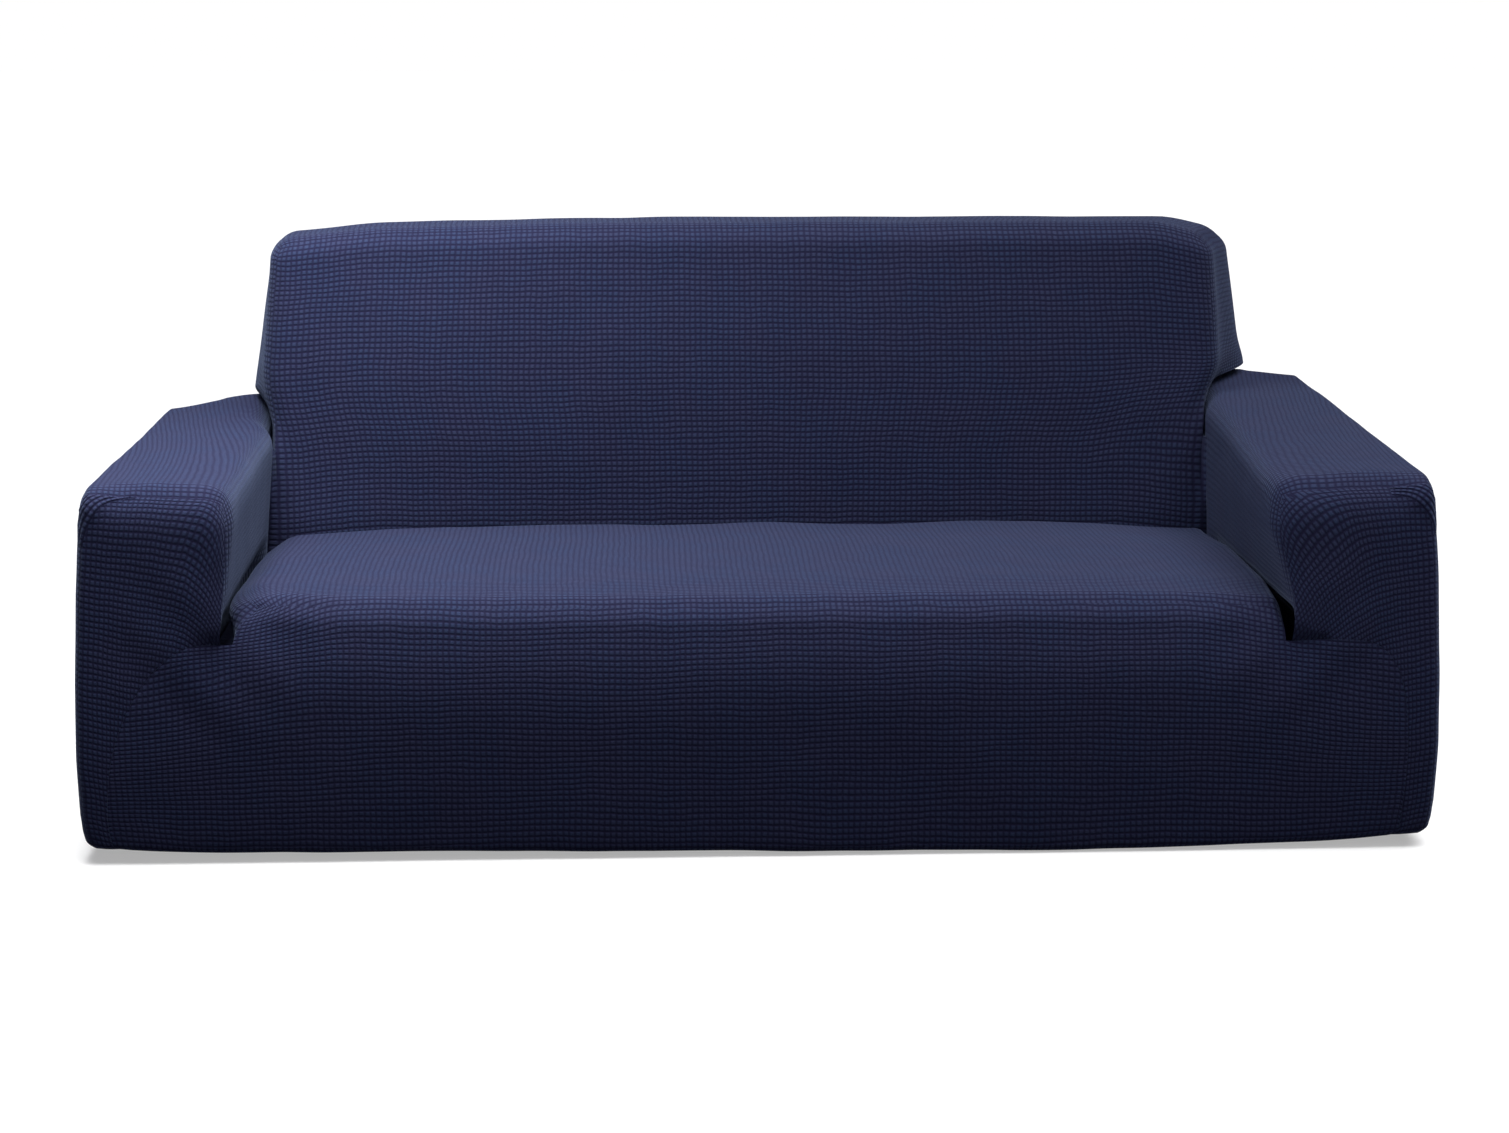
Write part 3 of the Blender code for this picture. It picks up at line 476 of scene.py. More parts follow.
def drape_seat(x, y, h):
    """Seat top, its front above the slots, and its tucked walls."""
    corner = end_at(x)["seat_corner"]
    radius_x = corner + (min(corner, SEAT_LONG_EDGE) - corner) * ease(*SEAT_CORNER_FADES, y)
    limits = ((-SEAT_HALF, SEAT_HALF, radius_x), (0.0, SEAT_DEPTH, SEAT_FRONT_Y),
              (None, SEAT_TOP, SEAT_FRONT_H))
    p = round_off((x, y, h), limits, ease(TUCK_FLOOR, SEAT_TOP - ROUND_UP_TO, h))
    top = ease(TUCK_FLOOR, SEAT_TOP, p.z)
    across = 1.0 - (x / SEAT_HALF) ** 2
    p.z += top * SEAT_SWELL * across * sin(pi * min(1.0, y / SEAT_DEPTH))
    corner = ease(CORNER_FROM_X, SEAT_HALF, abs(x)) * ease(CORNER_FROM_Y, SEAT_DEPTH, y)
    p.z -= top * CORNER_DIP * corner
    ripple = exp(-(SEAT_DEPTH - y) / RIPPLE_FADE) * sin(2 * pi * x / RIPPLE_LENGTH + RIPPLE_PHASE)
    p.z += top * TUCK_RIPPLE * ripple * across
    p.z += top * read_off(SEAT_EDGE_LINE, x) * (1.0 - ease(0.0, SEAT_DEPTH / 2, y))
    end = end_at(x)
    spread_out = bump(SEAT_TOP - SEAT_SPREAD_DOWN, SEAT_SPREAD_REACH, h)
    spread_out *= ease(*SEAT_SPREAD_GROWS, y)
    spread_out *= 1.0 - ease(TUCK_DEEPER_ENDS, SEAT_DEPTH, y)
    spread_out *= ease(*SEAT_SPREAD_SHARE, abs(x) / SEAT_HALF)
    p.x += end["side"] * end["seat_spread"] * spread_out
    return p


def back_half_width(end, y, h):
    """Half the back's width at this depth and height, flaring out over the arm to the rear."""
    lip = end["inner"] + LIP_OUT
    share_up = min(1.0, max(0.0, (h - FLARE_END) / (BACK_TOP - FLARE_END)))
    rear = end["back_low"] + (end["back_high"] - end["back_low"]) * share_up
    front = end["front_low"] + (end["front_high"] - end["front_low"]) * share_up
    front = SEAT_HALF + (front - SEAT_HALF) * ease(FRONT_FLARE_FROM, FRONT_FLARE_TO, h)
    spare = end["inner"] - SEAT_HALF - TUCK_GAP
    beside_arm = SEAT_HALF + spare * ease(*TUCK_GAP_FROM, y - BACK_FRONT)
    rear = (beside_arm + (lip - beside_arm) * ease(FLARE_START, FLARE_LIP, h)
            + (rear - lip) * ease(FLARE_LIP, FLARE_END, h))
    front = max(front, beside_arm)
    return front + (rear - front) * ease(BACK_FRONT + FLARE_BEHIND, DEPTH - FLARE_BEFORE, y)


def drape_back(x, y, h):
    """Inside back, the top, the back's sides, and the outside back above the arms."""
    end = end_at(x)
    limits = ((None, SEAT_HALF, EDGE_X), (BACK_FRONT, DEPTH, EDGE_Y),
              (None, BACK_TOP, BACK_EDGE_H))
    p = round_off((abs(x), y, h), limits, ease(SIDE_TUCK_FLOOR, FLARE_END, h))
    half = back_half_width(end, y, h)
    p.x *= half / SEAT_HALF
    share = p.x / half
    beside_arm = bump(ARM_TOP, LIP_CLIMB_REACH, h) * ease(LIP_CLIMB_FROM, 1.0, share)
    p.z += arm_climb(end, end["inner"], y) * beside_arm
    rise = min(1.0, max(0.0, (h - SEAT_TOP) / (BACK_TOP - SEAT_TOP)))
    forward = min(1.0, max(0.0, (DEPTH - p.y) / (DEPTH - BACK_FRONT)))
    p.y += BACK_LEAN * rise * forward
    p.y -= BACK_SWELL * sin(pi * rise) * (1.0 - share ** 4) * forward
    drop = end["slope"] * min(1.0, max(0.0, (share - end["slope_from"]) * SLOPE_GROWS))
    drop += end["shoulder"] * ease(end["shoulder_from"], 1.0, share)
    p.z -= drop * ease(BACK_TOP - SHOULDER_DEPTH, BACK_TOP, h)
    return Vector((p.x * end["side"], p.y, p.z))


def turn_hem(p, h):
    """Turns the bottom of the skirt under, towards the middle of the cover."""
    if h >= HEM_RADIUS:
        return p
    if h > -HEM_RADIUS:
        angle = (HEM_RADIUS - h) / (2 * HEM_RADIUS) * pi / 2
        inset = HEM_RADIUS * (1 - cos(angle))
        height = HEM_RADIUS * (1 - sin(angle))
    else:
        inset = -h
        height = 0.0
    x = p.x * (1 - inset / HALF_WIDTH)
    y = DEPTH / 2 + (p.y - DEPTH / 2) * (1 - inset / (DEPTH / 2))
    return Vector((x, y, height))


def lean_front(p, square):
    """Leans the front: back towards the seat's crown, and in towards the hem."""
    x, y, h = square
    on_arm = abs(x) > end_at(x)["inner"] - TINY and h > TUCK_FLOOR
    if not on_arm:
        crown = ease(SEAT_CROWN_FROM, SEAT_TOP, h) ** 2 * (1.0 - ease(0.0, SEAT_CROWN_FADE, y))
        crown *= 1.0 - ease(SEAT_HALF, SEAT_HALF + SEAT_CROWN_ENDS, abs(x))
        if h <= SEAT_TOP:
            p.y += SEAT_CROWN_BACK * crown
            p.z -= SEAT_CROWN_DOWN * crown
    low = max(0.0, 1.0 - h / HEM_LEAN_FROM) ** 2
    p.y += HEM_LEAN * low * (1.0 - ease(0.0, HEM_LEAN_FADE, y))
    return p


def uneven(p, square):
    """The cover's own unevenness: the hem's line, drawn-up corners, pulls at the slots."""
    x, y, h = square
    end = end_at(x)
    low = 1.0 - ease(0.0, HEM_FADE, h)
    forward = 1.0 - ease(0.0, DEPTH / 2, y)
    wave = HEM_WAVE * sin(2 * pi * x / HEM_WAVE_X + HEM_WAVE_PHASE) * cos(2 * pi * y / HEM_WAVE_Y)
    p.z += low * (forward * read_off(HEM_LINE, x) + (1.0 - forward) * wave)
    ends = max(bump(0.0, HEM_CORNER_REACH, y), bump(DEPTH, HEM_CORNER_REACH, y))
    p.z += low * HEM_CORNER * ends * ease(HEM_CORNER_FROM_X, HALF_WIDTH, abs(x))
    beside = ease(SLOT_LIFT_FROM, SEAT_HALF, abs(x)) * (1.0 - ease(*SLOT_LIFT_END, abs(x)))
    near_slot = bump(TUCK_FLOOR, SLOT_REACH, h) * (1.0 - ease(DEPTH / 3, SEAT_DEPTH, y))
    p.z += near_slot * end["slot_lift"] * beside
    between_walls = SEAT_HALF - TINY < abs(x) < end["inner"] + TINY
    if between_walls and abs(h - TUCK_FLOOR) < TINY:
        ends_at = ease(TUCK_DEEPER_ENDS, SEAT_DEPTH, y)
        p.z -= TUCK_DEEPER * ease(0.0, TUCK_DEEPER_GROWS, y) * (1.0 - ends_at)
    if y < TINY and h > HEM_RADIUS:
        across, up = abs(x) - end["inner"], h - TUCK_FLOOR
        away = (across ** 2 + up ** 2) ** 0.5
        fade = ease(*PULL_GROWS, away) * (1.0 - ease(*PULL_FADES, away))
        p.y += PULL_FOLD * fade * sin(2 * pi * (across - up) / PULL_SPACING)
    return p


def drape(square):
    """Final place of a point of the square shell, as (x, y, height above the hem)."""
    x, y, h = square
    end = end_at(x)
    beside = abs(x) > SEAT_HALF + TINY
    if y > BACK_FRONT - TINY and h >= SIDE_TUCK_FLOOR - TINY and not beside:
        p = drape_back(x, y, h)
    elif y < SEAT_DEPTH + TINY and h > TUCK_FLOOR + TINY and not beside:
        p = drape_seat(x, y, h)
    elif abs(x) >= end["inner"] - TINY or h <= TUCK_FLOOR or y > DEPTH - TINY:
        p = drape_arm(x, y, h)
    elif y > BACK_FRONT - TINY and not beside:
        p = drape_back(x, y, h)
    else:
        p = Vector(square)
    return uneven(lean_front(turn_hem(p, h), square), square)


# ---- where the knit's cells lie on each plane: (across, along) in metres ----
def on_front(x, y, h):
    """Front of the skirt and seat.  Courses run down towards the outer ends of the skirt."""
    droop = FRONT_DROOP * ease(*FRONT_DROOP_X, abs(x)) * ease(*FRONT_DROOP_H, h)
    corner = seat_corner_bend(x) * ease(TUCK_FLOOR - CORNER_BEND_BELOW, SEAT_TOP, h)
    wave = sum(weave_wave(wave, x, h) for wave in FRONT_WAVES)
    return x, -true_length(SEAT_TOP - h, SEAT_EDGE_H) + droop + corner + wave


def seat_corner_bend(x):
    """How far the courses run down towards the seat's front corners."""
    return end_at(x)["corner_bend"] * ease(CORNER_BEND_X, SEAT_HALF, abs(x))


def on_seat(x, y, h):
    bend = seat_corner_bend(x) * (1.0 - ease(*CORNER_BEND_FADES, y))
    return x + weave_wave(SEAT_WAVE, y, x), true_length(y, EDGE_Y) + bend


def on_seat_side(x, y, h):
    return x + end_at(x)["side"] * (SEAT_TOP - h), true_length(y, EDGE_Y)


def on_back(x, y, h):
    """Front of the back; the courses bend down a little towards its ends."""
    side = end_at(x)["side"]
    across = side * inside_length(abs(x), SEAT_HALF, EDGE_X)
    bend = BACK_BEND * ease(BACK_BEND_X, SEAT_HALF, abs(x))
    bend *= 1.0 - ease(BACK_BEND_H, BACK_TOP, h)
    wave = weave_wave(BACK_WAVE, x, h)
    return across, -true_length(BACK_TOP - h, BACK_EDGE_H) + bend + wave


def on_back_top(x, y, h):
    side = end_at(x)["side"]
    return side * inside_length(abs(x), SEAT_HALF, EDGE_X), true_length(y - BACK_FRONT, EDGE_Y)


def on_back_side(x, y, h):
    side = end_at(x)["side"]
    flat = true_length(SEAT_HALF, EDGE_X) + true_length(y - BACK_FRONT, EDGE_Y)
    return side * flat, -true_length(BACK_TOP - h, BACK_EDGE_H)


def on_rear(x, y, h):
    return x, h


def arm_weave(end, a, h):
    """Knit on an arm's front, a metres in from its outer edge: (across, along).

    The courses slope down inwards and turn steeply down by the inner edge; the columns keep their
    spacing along the courses.
    """
    down = ARM_TOP - h
    near, far = end["turn_over"]
    over = near + (far - near) * ease(0.0, ARM_TURN_DOWN, down)
    turned = max(0.0, (a - (HALF_WIDTH - end["inner"] - over)) / over)
    steep = end["turn"]
    fall = steep * over / 2 * turned ** 2
    curve = turned * (1.0 + (steep * turned) ** 2) ** 0.5 + asinh(steep * turned) / steep
    longer = over * (curve / 2 - turned)
    tilt = end["tilt"] * ease(*ARM_TILT_OVER, down)
    shear = end["tilt"] * ease(0.0, ARM_SHEAR_OVER, a)
    shear += end["turn_shear"] * ease(ARM_TURN_SHEAR_FROM, ARM_SHEAR_OVER, a)
    across = a + longer + shear * (down - SHEAR_AT)
    return across, h + tilt * a + fall * ease(0.0, ARM_TURN_GROWS, down)


def on_arm_front(x, y, h):
    end = end_at(x)
    across, along = arm_weave(end, HALF_WIDTH - abs(x), h)
    return end["side"] * (HALF_WIDTH - across), along


def on_arm_fan(x, y, h):
    """Courses that run around the outer top corner of an arm's front."""
    end = end_at(x)
    reach, angle = fan_place(end, HALF_WIDTH - abs(x), ARM_TOP - h)
    first = end["fan"][2]
    return end["side"] * first * angle, (reach - first) * CELL / FAN_PITCH


def on_arm_outer(x, y, h):
    fade = 1.0 - ease(0.0, OUTER_FADE, y)
    end = end_at(x)
    along = h + (arm_weave(end, 0.0, h)[1] - h) * fade
    return end["side"] * (HALF_WIDTH + true_length(y, EDGE_Y)), along


def on_arm_top(x, y, h):
    """Columns run on from the front and curve outwards to the rear."""
    end = end_at(x)
    across = HALF_WIDTH - arm_weave(end, HALF_WIDTH - abs(x), ARM_TOP)[0]
    near = min(y, TOP_CURVE_TO)
    across -= TOP_CURVE * near * (2.0 * y - near)
    aside = abs(x) - (end["inner"] + HALF_WIDTH) / 2
    along = ARM_TOP + true_length(y, EDGE_Y) + 2.0 * TOP_CURVE * near * aside
    return end["side"] * across, along


def on_arm_inner(x, y, h):
    """Inner wall: the courses of the top run on down it, a little aslant."""
    end = end_at(x)
    down = true_length(ARM_TOP - h, ARM_EDGE_H)
    along = ARM_TOP + true_length(y, EDGE_Y) - INNER_SLANT * down
    return end["side"] * (end["inner"] - down), along


# ---- laying out the square shell ----
class Shell:
    """All pieces of the cover as one welded surface, each face marked with its piece."""

    def __init__(self):
        self.mesh = bmesh.new()
        self.cells = self.mesh.loops.layers.uv.new("cells")
        self.points = {}
        self.pieces = {}

    def point(self, square):
        key = tuple(round(value, 6) for value in square)
        if key not in self.points:
            self.points[key] = self.mesh.verts.new(drape(square))
        return self.points[key]

    def grid(self, piece, plane, rows):
        """Faces between successive rows of square points, all rows of one length."""
        for lower, upper in zip(rows, rows[1:]):
            for i in range(len(lower) - 1):
                self.face(piece, plane, (lower[i], lower[i + 1], upper[i + 1], upper[i]))

    def face(self, piece, plane, squares):
        face = self.mesh.faces.new([self.point(square) for square in squares])
        self.pieces[face] = piece
        pitch = BACK_CELL if "back" in piece else CELL
        for corner, square in zip(face.loops, squares):
            across, along = plane(*square)
            corner[self.cells].uv = (across / pitch, along / pitch)

    def face_outward(self):
        """Turns every face's front to the outside of the cover."""
        bmesh.ops.recalc_face_normals(self.mesh, faces=self.mesh.faces[:])
        rearmost = max(self.mesh.faces, key=lambda face: face.calc_center_median().y)
        if rearmost.normal.y < 0:
            bmesh.ops.reverse_faces(self.mesh, faces=self.mesh.faces[:])
        self.mesh.normal_update()
        self.mesh.verts.index_update()
        self.mesh.edges.index_update()

    def soften(self):
        """Soft unevenness of the whole cloth, and seams that lie a little deeper."""
        for vert in self.mesh.verts:
            lumps = noise.noise(vert.co / UNEVEN_SIZE)
            lumps += SMALL_SHARE * noise.noise(vert.co / UNEVEN_SMALL)
            owners = {self.pieces[face] for face in vert.link_faces}
            sink = SEAM_SINK if len(owners) > 1 else 0.0
            vert.co += vert.normal * (UNEVEN * lumps - sink)
        self.mesh.normal_update()


def lay_out_seat_and_skirt(shell):
    piece = "seat_and_skirt"
    left, right = (end["side"] * end["inner"] for end in ENDS)
    shell.grid(piece, on_front, [[(x, 0.0, h) for x in [left] + ACROSS + [right]]
                                 for h in HEM_UP + SKIRT_UP[1:]])
    shell.grid(piece, on_front, [[(x, 0.0, h) for x in ACROSS] for h in SEAT_UP])
    shell.grid(piece, on_seat, [[(x, y, SEAT_TOP) for x in ACROSS] for y in SEAT_BACKWARD])
    shell.grid(piece, on_rear, [[(x, SEAT_DEPTH, h) for x in ACROSS] for h in SEAT_UP])
    shell.grid(piece, on_seat, [[(x, y, TUCK_FLOOR) for x in ACROSS]
                                for y in (SEAT_DEPTH, BACK_FRONT)])
    for end in ENDS:
        wall = end["side"] * SEAT_HALF
        inner = end["side"] * end["inner"]
        shell.grid(piece, on_seat_side, [[(wall, y, h) for y in SEAT_BACKWARD] for h in SEAT_UP])
        floor_rows = SEAT_BACKWARD + [BACK_FRONT]
        shell.grid(piece, on_seat, [[(x, y, TUCK_FLOOR) for x in (wall, inner)]
                                    for y in floor_rows])


def lay_out_inside_back(shell):
    piece = "inside_back"
    left, right = (end["side"] * end["inner"] for end in ENDS)
    shell.grid(piece, on_back, [[(x, BACK_FRONT, h) for x in [left] + ACROSS + [right]]
                                for h in TUCK_UP])
    shell.grid(piece, on_back, [[(x, BACK_FRONT, h) for x in ACROSS] for h in BACK_UP])
    shell.grid(piece, on_back_top, [[(x, y, BACK_TOP) for x in ACROSS]
                                    for y in SHOULDER_BACKWARD])
    for end in ENDS:
        wall = end["side"] * SEAT_HALF
        inner = end["side"] * end["inner"]
        shell.grid(piece, on_back_side, [[(wall, y, h) for y in SHOULDER_BACKWARD]
                                         for h in BACK_UP])
        shell.grid(piece, on_back_side, [[(x, y, SIDE_TUCK_FLOOR) for x in (wall, inner)]
                                         for y in SHOULDER_BACKWARD])


def lay_out_sleeve(shell, end):
    piece = "arm_sleeve_" + end["name"]
    side = end["side"]
    inner = side * end["inner"]
    outer = side * HALF_WIDTH
    backward = SEAT_BACKWARD + SHOULDER_BACKWARD
    upper = TUCK_UP + ARM_UP[1:]
    shell.grid(piece, on_arm_inner, [[(inner, y, h) for y in SEAT_BACKWARD + [BACK_FRONT]]
                                     for h in upper])
    shell.grid(piece, on_arm_inner, [[(inner, y, h) for y in SHOULDER_BACKWARD]
                                     for h in ARM_UP])
    shell.grid(piece, on_arm_top, [[(x, y, ARM_TOP) for x in arm_columns(end, end["inner"])]
                                   for y in backward])
    shell.grid(piece, on_arm_outer, [[(outer, y, h) for y in backward]
                                     for h in HEM_UP + SKIRT_UP[1:] + upper[1:]])


def lay_out_front_of_end(shell, end):
    """The flat front of an arm and of the skirt's end, parted by the sleeve's curved seam."""
    sleeve = "arm_sleeve_" + end["name"]
    columns = arm_columns(end, end["inner"])
    rows = SKIRT_UP + TUCK_UP[1:] + ARM_UP[1:]
    seam = front_seam(end)
    skirt_side = [x for x in columns if abs(x) < end["seam_x"] - SEAM_CLEARANCE]
    skirt_hem = skirt_side[::-1] + [seam[-1][0]]
    sleeve_hem = spread(columns[0], seam[-1][0], 4)
    points = list(seam)
    points += [(x, h) for x in (columns[0], columns[-1]) for h in rows]
    points += [(x, rows[-1]) for x in columns[1:-1]]
    points += [(x, rows[0]) for x in skirt_hem[1:-1] + sleeve_hem[1:-1]]
    points += [(x, h) for x in columns[1:-1] for h in rows[1:-1] if clear_of(seam, (x, h))]
    points += fan_points(end, seam)
    points = list(dict.fromkeys(points))
    links = [(i, i + 1) for i in range(SEAM_STEPS)]
    result = delaunay_2d_cdt([Vector(point) for point in points], links, [], 0, 1e-7)
    sources = result[3]
    for face in result[2]:
        corners = [points[sources[i][0]] for i in face]
        middle = [sum(values) / 3 for values in zip(*corners)]
        reach = fan_place(end, HALF_WIDTH - abs(middle[0]), ARM_TOP - middle[1])[0]
        if under(seam, middle, end["side"]):
            piece, plane = "seat_and_skirt", on_front
        elif reach > end["fan"][2] - FAN_PITCH / 2:
            piece, plane = sleeve, on_arm_fan
        else:
            piece, plane = sleeve, on_arm_front
        shell.face(piece, plane, [(x, 0.0, h) for x, h in corners])
    shell.grid("seat_and_skirt", on_front, [[(x, 0.0, h) for x in skirt_hem] for h in HEM_UP])
    shell.grid(sleeve, on_arm_front, [[(x, 0.0, h) for x in sleeve_hem] for h in HEM_UP])


def fan_points(end, seam):
    """Extra mesh points where the ribs fan over the outer top corner."""
    found = []
    inwards, lower, first = end["fan"]
    last = first + FAN_RIBS * FAN_PITCH
    rings = FAN_RIB_STEPS * (FAN_RIBS + 1)
    for reach in spread(first - FAN_PITCH / 2, last + FAN_PITCH / 2, rings):
        for angle in spread(0.0, pi / 2, FAN_STEPS):
            x = HALF_WIDTH - inwards + reach * cos(angle)
            h = ARM_TOP - lower + reach * sin(angle)
            inside = x < HALF_WIDTH - FAN_MARGIN and h < ARM_TOP - FAN_MARGIN
            if inside and clear_of(seam, (end["side"] * x, h)):
                found.append((end["side"] * x, h))
    return found


def lay_out_outside_back(shell):
    piece = "outside_back"
    arm_left, arm_right = (arm_columns(end, end["inner"]) for end in ENDS)
    across = arm_left + ACROSS + arm_right[::-1]
    shell.grid(piece, on_rear, [[(x, DEPTH, h) for x in across]
                                for h in HEM_UP + SKIRT_UP[1:] + TUCK_UP[1:]])
    shell.grid(piece, on_rear, [[(x, DEPTH, h) for x in ACROSS] for h in BACK_UP])
    for columns in (arm_left, arm_right):
        shell.grid(piece, on_rear, [[(x, DEPTH, h) for x in columns] for h in ARM_UP])


# ---- from the shell to separate pieces with their thickness ----
def inward_along(face, edge):
    """Unit direction in the face, square to one of its edges and pointing into the face."""
    along = (edge.verts[1].co - edge.verts[0].co).normalized()
    across = face.normal.cross(along).normalized()
    middle = (edge.verts[0].co + edge.verts[1].co) / 2
    return across if across.dot(face.calc_center_median() - middle) > 0 else -across


def seam_pulls(shell, piece):
    """How each seam point of a piece moves back from the seam, as vertex index to vector."""
    found = {}
    for edge in shell.mesh.edges:
        own = [face for face in edge.link_faces if shell.pieces[face] == piece]
        if len(own) != 1 or len(edge.link_faces) != 2:
            continue
        direction = inward_along(own[0], edge)
        for vert in edge.verts:
            found.setdefault(vert.index, []).append(direction)
    pulls = {}
    for index, directions in found.items():
        first, last = directions[0], directions[-1]
        spread_factor = max(LEAST_SPREAD, 1.0 + first.dot(last)) if len(directions) > 1 else 1.0
        total = first + last if len(directions) > 1 else first
        pulls[index] = total * (SEAM_PULL / spread_factor)
    return pulls


def sheet_mesh(shell, piece):
    """One piece as a closed sheet: its face, its underside and the rim between them."""
    pulls = seam_pulls(shell, piece)
    faces = [face for face in shell.mesh.faces if shell.pieces[face] == piece]
    number = {}
    places = []
    for face in faces:
        for vert in face.verts:
            if vert.index not in number:
                number[vert.index] = len(places)
                places.append((vert, vert.co + pulls.get(vert.index, Vector())))
    count = len(places)
    outside = [place - ORIGIN for _, place in places]
    inwards = [vert.normal * (THICKNESS * min(SHARPEST, vert.calc_shell_factor()))
               for vert, _ in places]
    underside = [place - inward for place, inward in zip(outside, inwards)]
    polygons = []
    cells = []
    for face in faces:
        loop = [number[vert.index] for vert in face.verts]
        uvs = [corner[shell.cells].uv.copy() for corner in face.loops]
        polygons.append(loop)
        cells += uvs
        polygons.append([i + count for i in reversed(loop)])
        cells += reversed(uvs)
        for i, corner in enumerate(face.loops):
            if sum(shell.pieces[other] == piece for other in corner.edge.link_faces) == 1:
                a, b = loop[i], loop[(i + 1) % len(loop)]
                uv_a, uv_b = uvs[i], uvs[(i + 1) % len(loop)]
                polygons.append([b, a, a + count, b + count])
                cells += [uv_b, uv_a, uv_a, uv_b]
    mesh = bpy.data.meshes.new(piece)
    mesh.from_pydata([tuple(place) for place in outside + underside], [], polygons)
    layer = mesh.uv_layers.new(name="cells")
    layer.data.foreach_set("uv", [value for uv in cells for value in uv])
    mesh.validate()
    return mesh


def add_object(name, data):
    """A new object of the scene with this mesh, light or camera."""
    added = bpy.data.objects.new(name, data)
    bpy.context.scene.collection.objects.link(added)
    return added


def set_inputs(node, values):
    for name, value in values.items():
        node.inputs[name].default_value = value


# ---- the knit's material ----
THREAD = (0.0210, 0.0308, 0.0715, 1.0)
THREAD_WARM = (0.0245, 0.0302, 0.0680, 1.0)
# painted shade: the grooves between the cells get this darker, bluer colour in place of the shade
# in them
PAINTED_GROOVE_SHADE = (0.0078, 0.0074, 0.0260, 1.0)
SHEEN_TINT = (0.50, 0.64, 1.0, 1.0)
CELL_BUMP = 0.0008
YARN_BUMP = 0.0004
YARN_STRENGTH = 0.6
ROUGHNESS = 0.92
SPECULAR = 0.08
SHEEN = 0.12
SHEEN_ROUGHNESS = 0.45
CELL_EDGE = (0.02, 0.36)    # a cell rises between these shares of its pitch from its edge
# COLUMN_LOW and COURSE_LOW also set how much of the painted groove shade shows in the base colour
COLUMN_LOW = 0.18           # height left in the grooves between columns
COURSE_LOW = 0.06           # and between courses
WOBBLE = (0.7, 0.7, 0.0)    # how far the cells stray, in cells
WOBBLE_SCALE = 0.16
YARN_SCALE = 6.0
PATCH_SCALE = 0.10
PATCH_EDGE = (0.35, 0.65)
SPECK_LOW = 0.80            # dullest of the cells
YARN_LOW = 0.86
YARN_EDGE = (0.3, 0.7)


class Nodes:
    """Small helper that adds shader nodes to one material and links them."""

    def __init__(self, material):
        material.use_nodes = True
        self.tree = material.node_tree
        self.shader = self.tree.nodes["Principled BSDF"]

    def add(self, kind, settings=None, inputs=None):
        node = self.tree.nodes.new(kind)
        for name, value in (settings or {}).items():
            setattr(node, name, value)
        for name, value in (inputs or {}).items():
            self.feed(node.inputs[name], value)
        return node

    def feed(self, socket, value):
        if isinstance(value, bpy.types.NodeSocket):
            self.tree.links.new(value, socket)
        else:
            socket.default_value = value

    def math(self, operation, *values):
        node = self.add("ShaderNodeMath", {"operation": operation})
        for socket, value in zip(node.inputs, values):
            self.feed(socket, value)
        return node.outputs[0]

    def map_range(self, value, low, high, to_low=0.0, to_high=1.0, kind="SMOOTHSTEP"):
        node = self.add("ShaderNodeMapRange", {"interpolation_type": kind},
                        {"Value": value, "From Min": low, "From Max": high,
                         "To Min": to_low, "To Max": to_high})
        return node.outputs["Result"]

    def noise(self, vector, scale, detail=1.0):
        node = self.add("ShaderNodeTexNoise", None,
                        {"Vector": vector, "Scale": scale, "Detail": detail})
        return node.outputs["Fac"], node.outputs["Color"]

    def mix_color(self, factor, first, second):
        node = self.add("ShaderNodeMix", {"data_type": "RGBA"})
        for index, value in ((0, factor), (6, first), (7, second)):
            self.feed(node.inputs[index], value)
        return node.outputs[2]


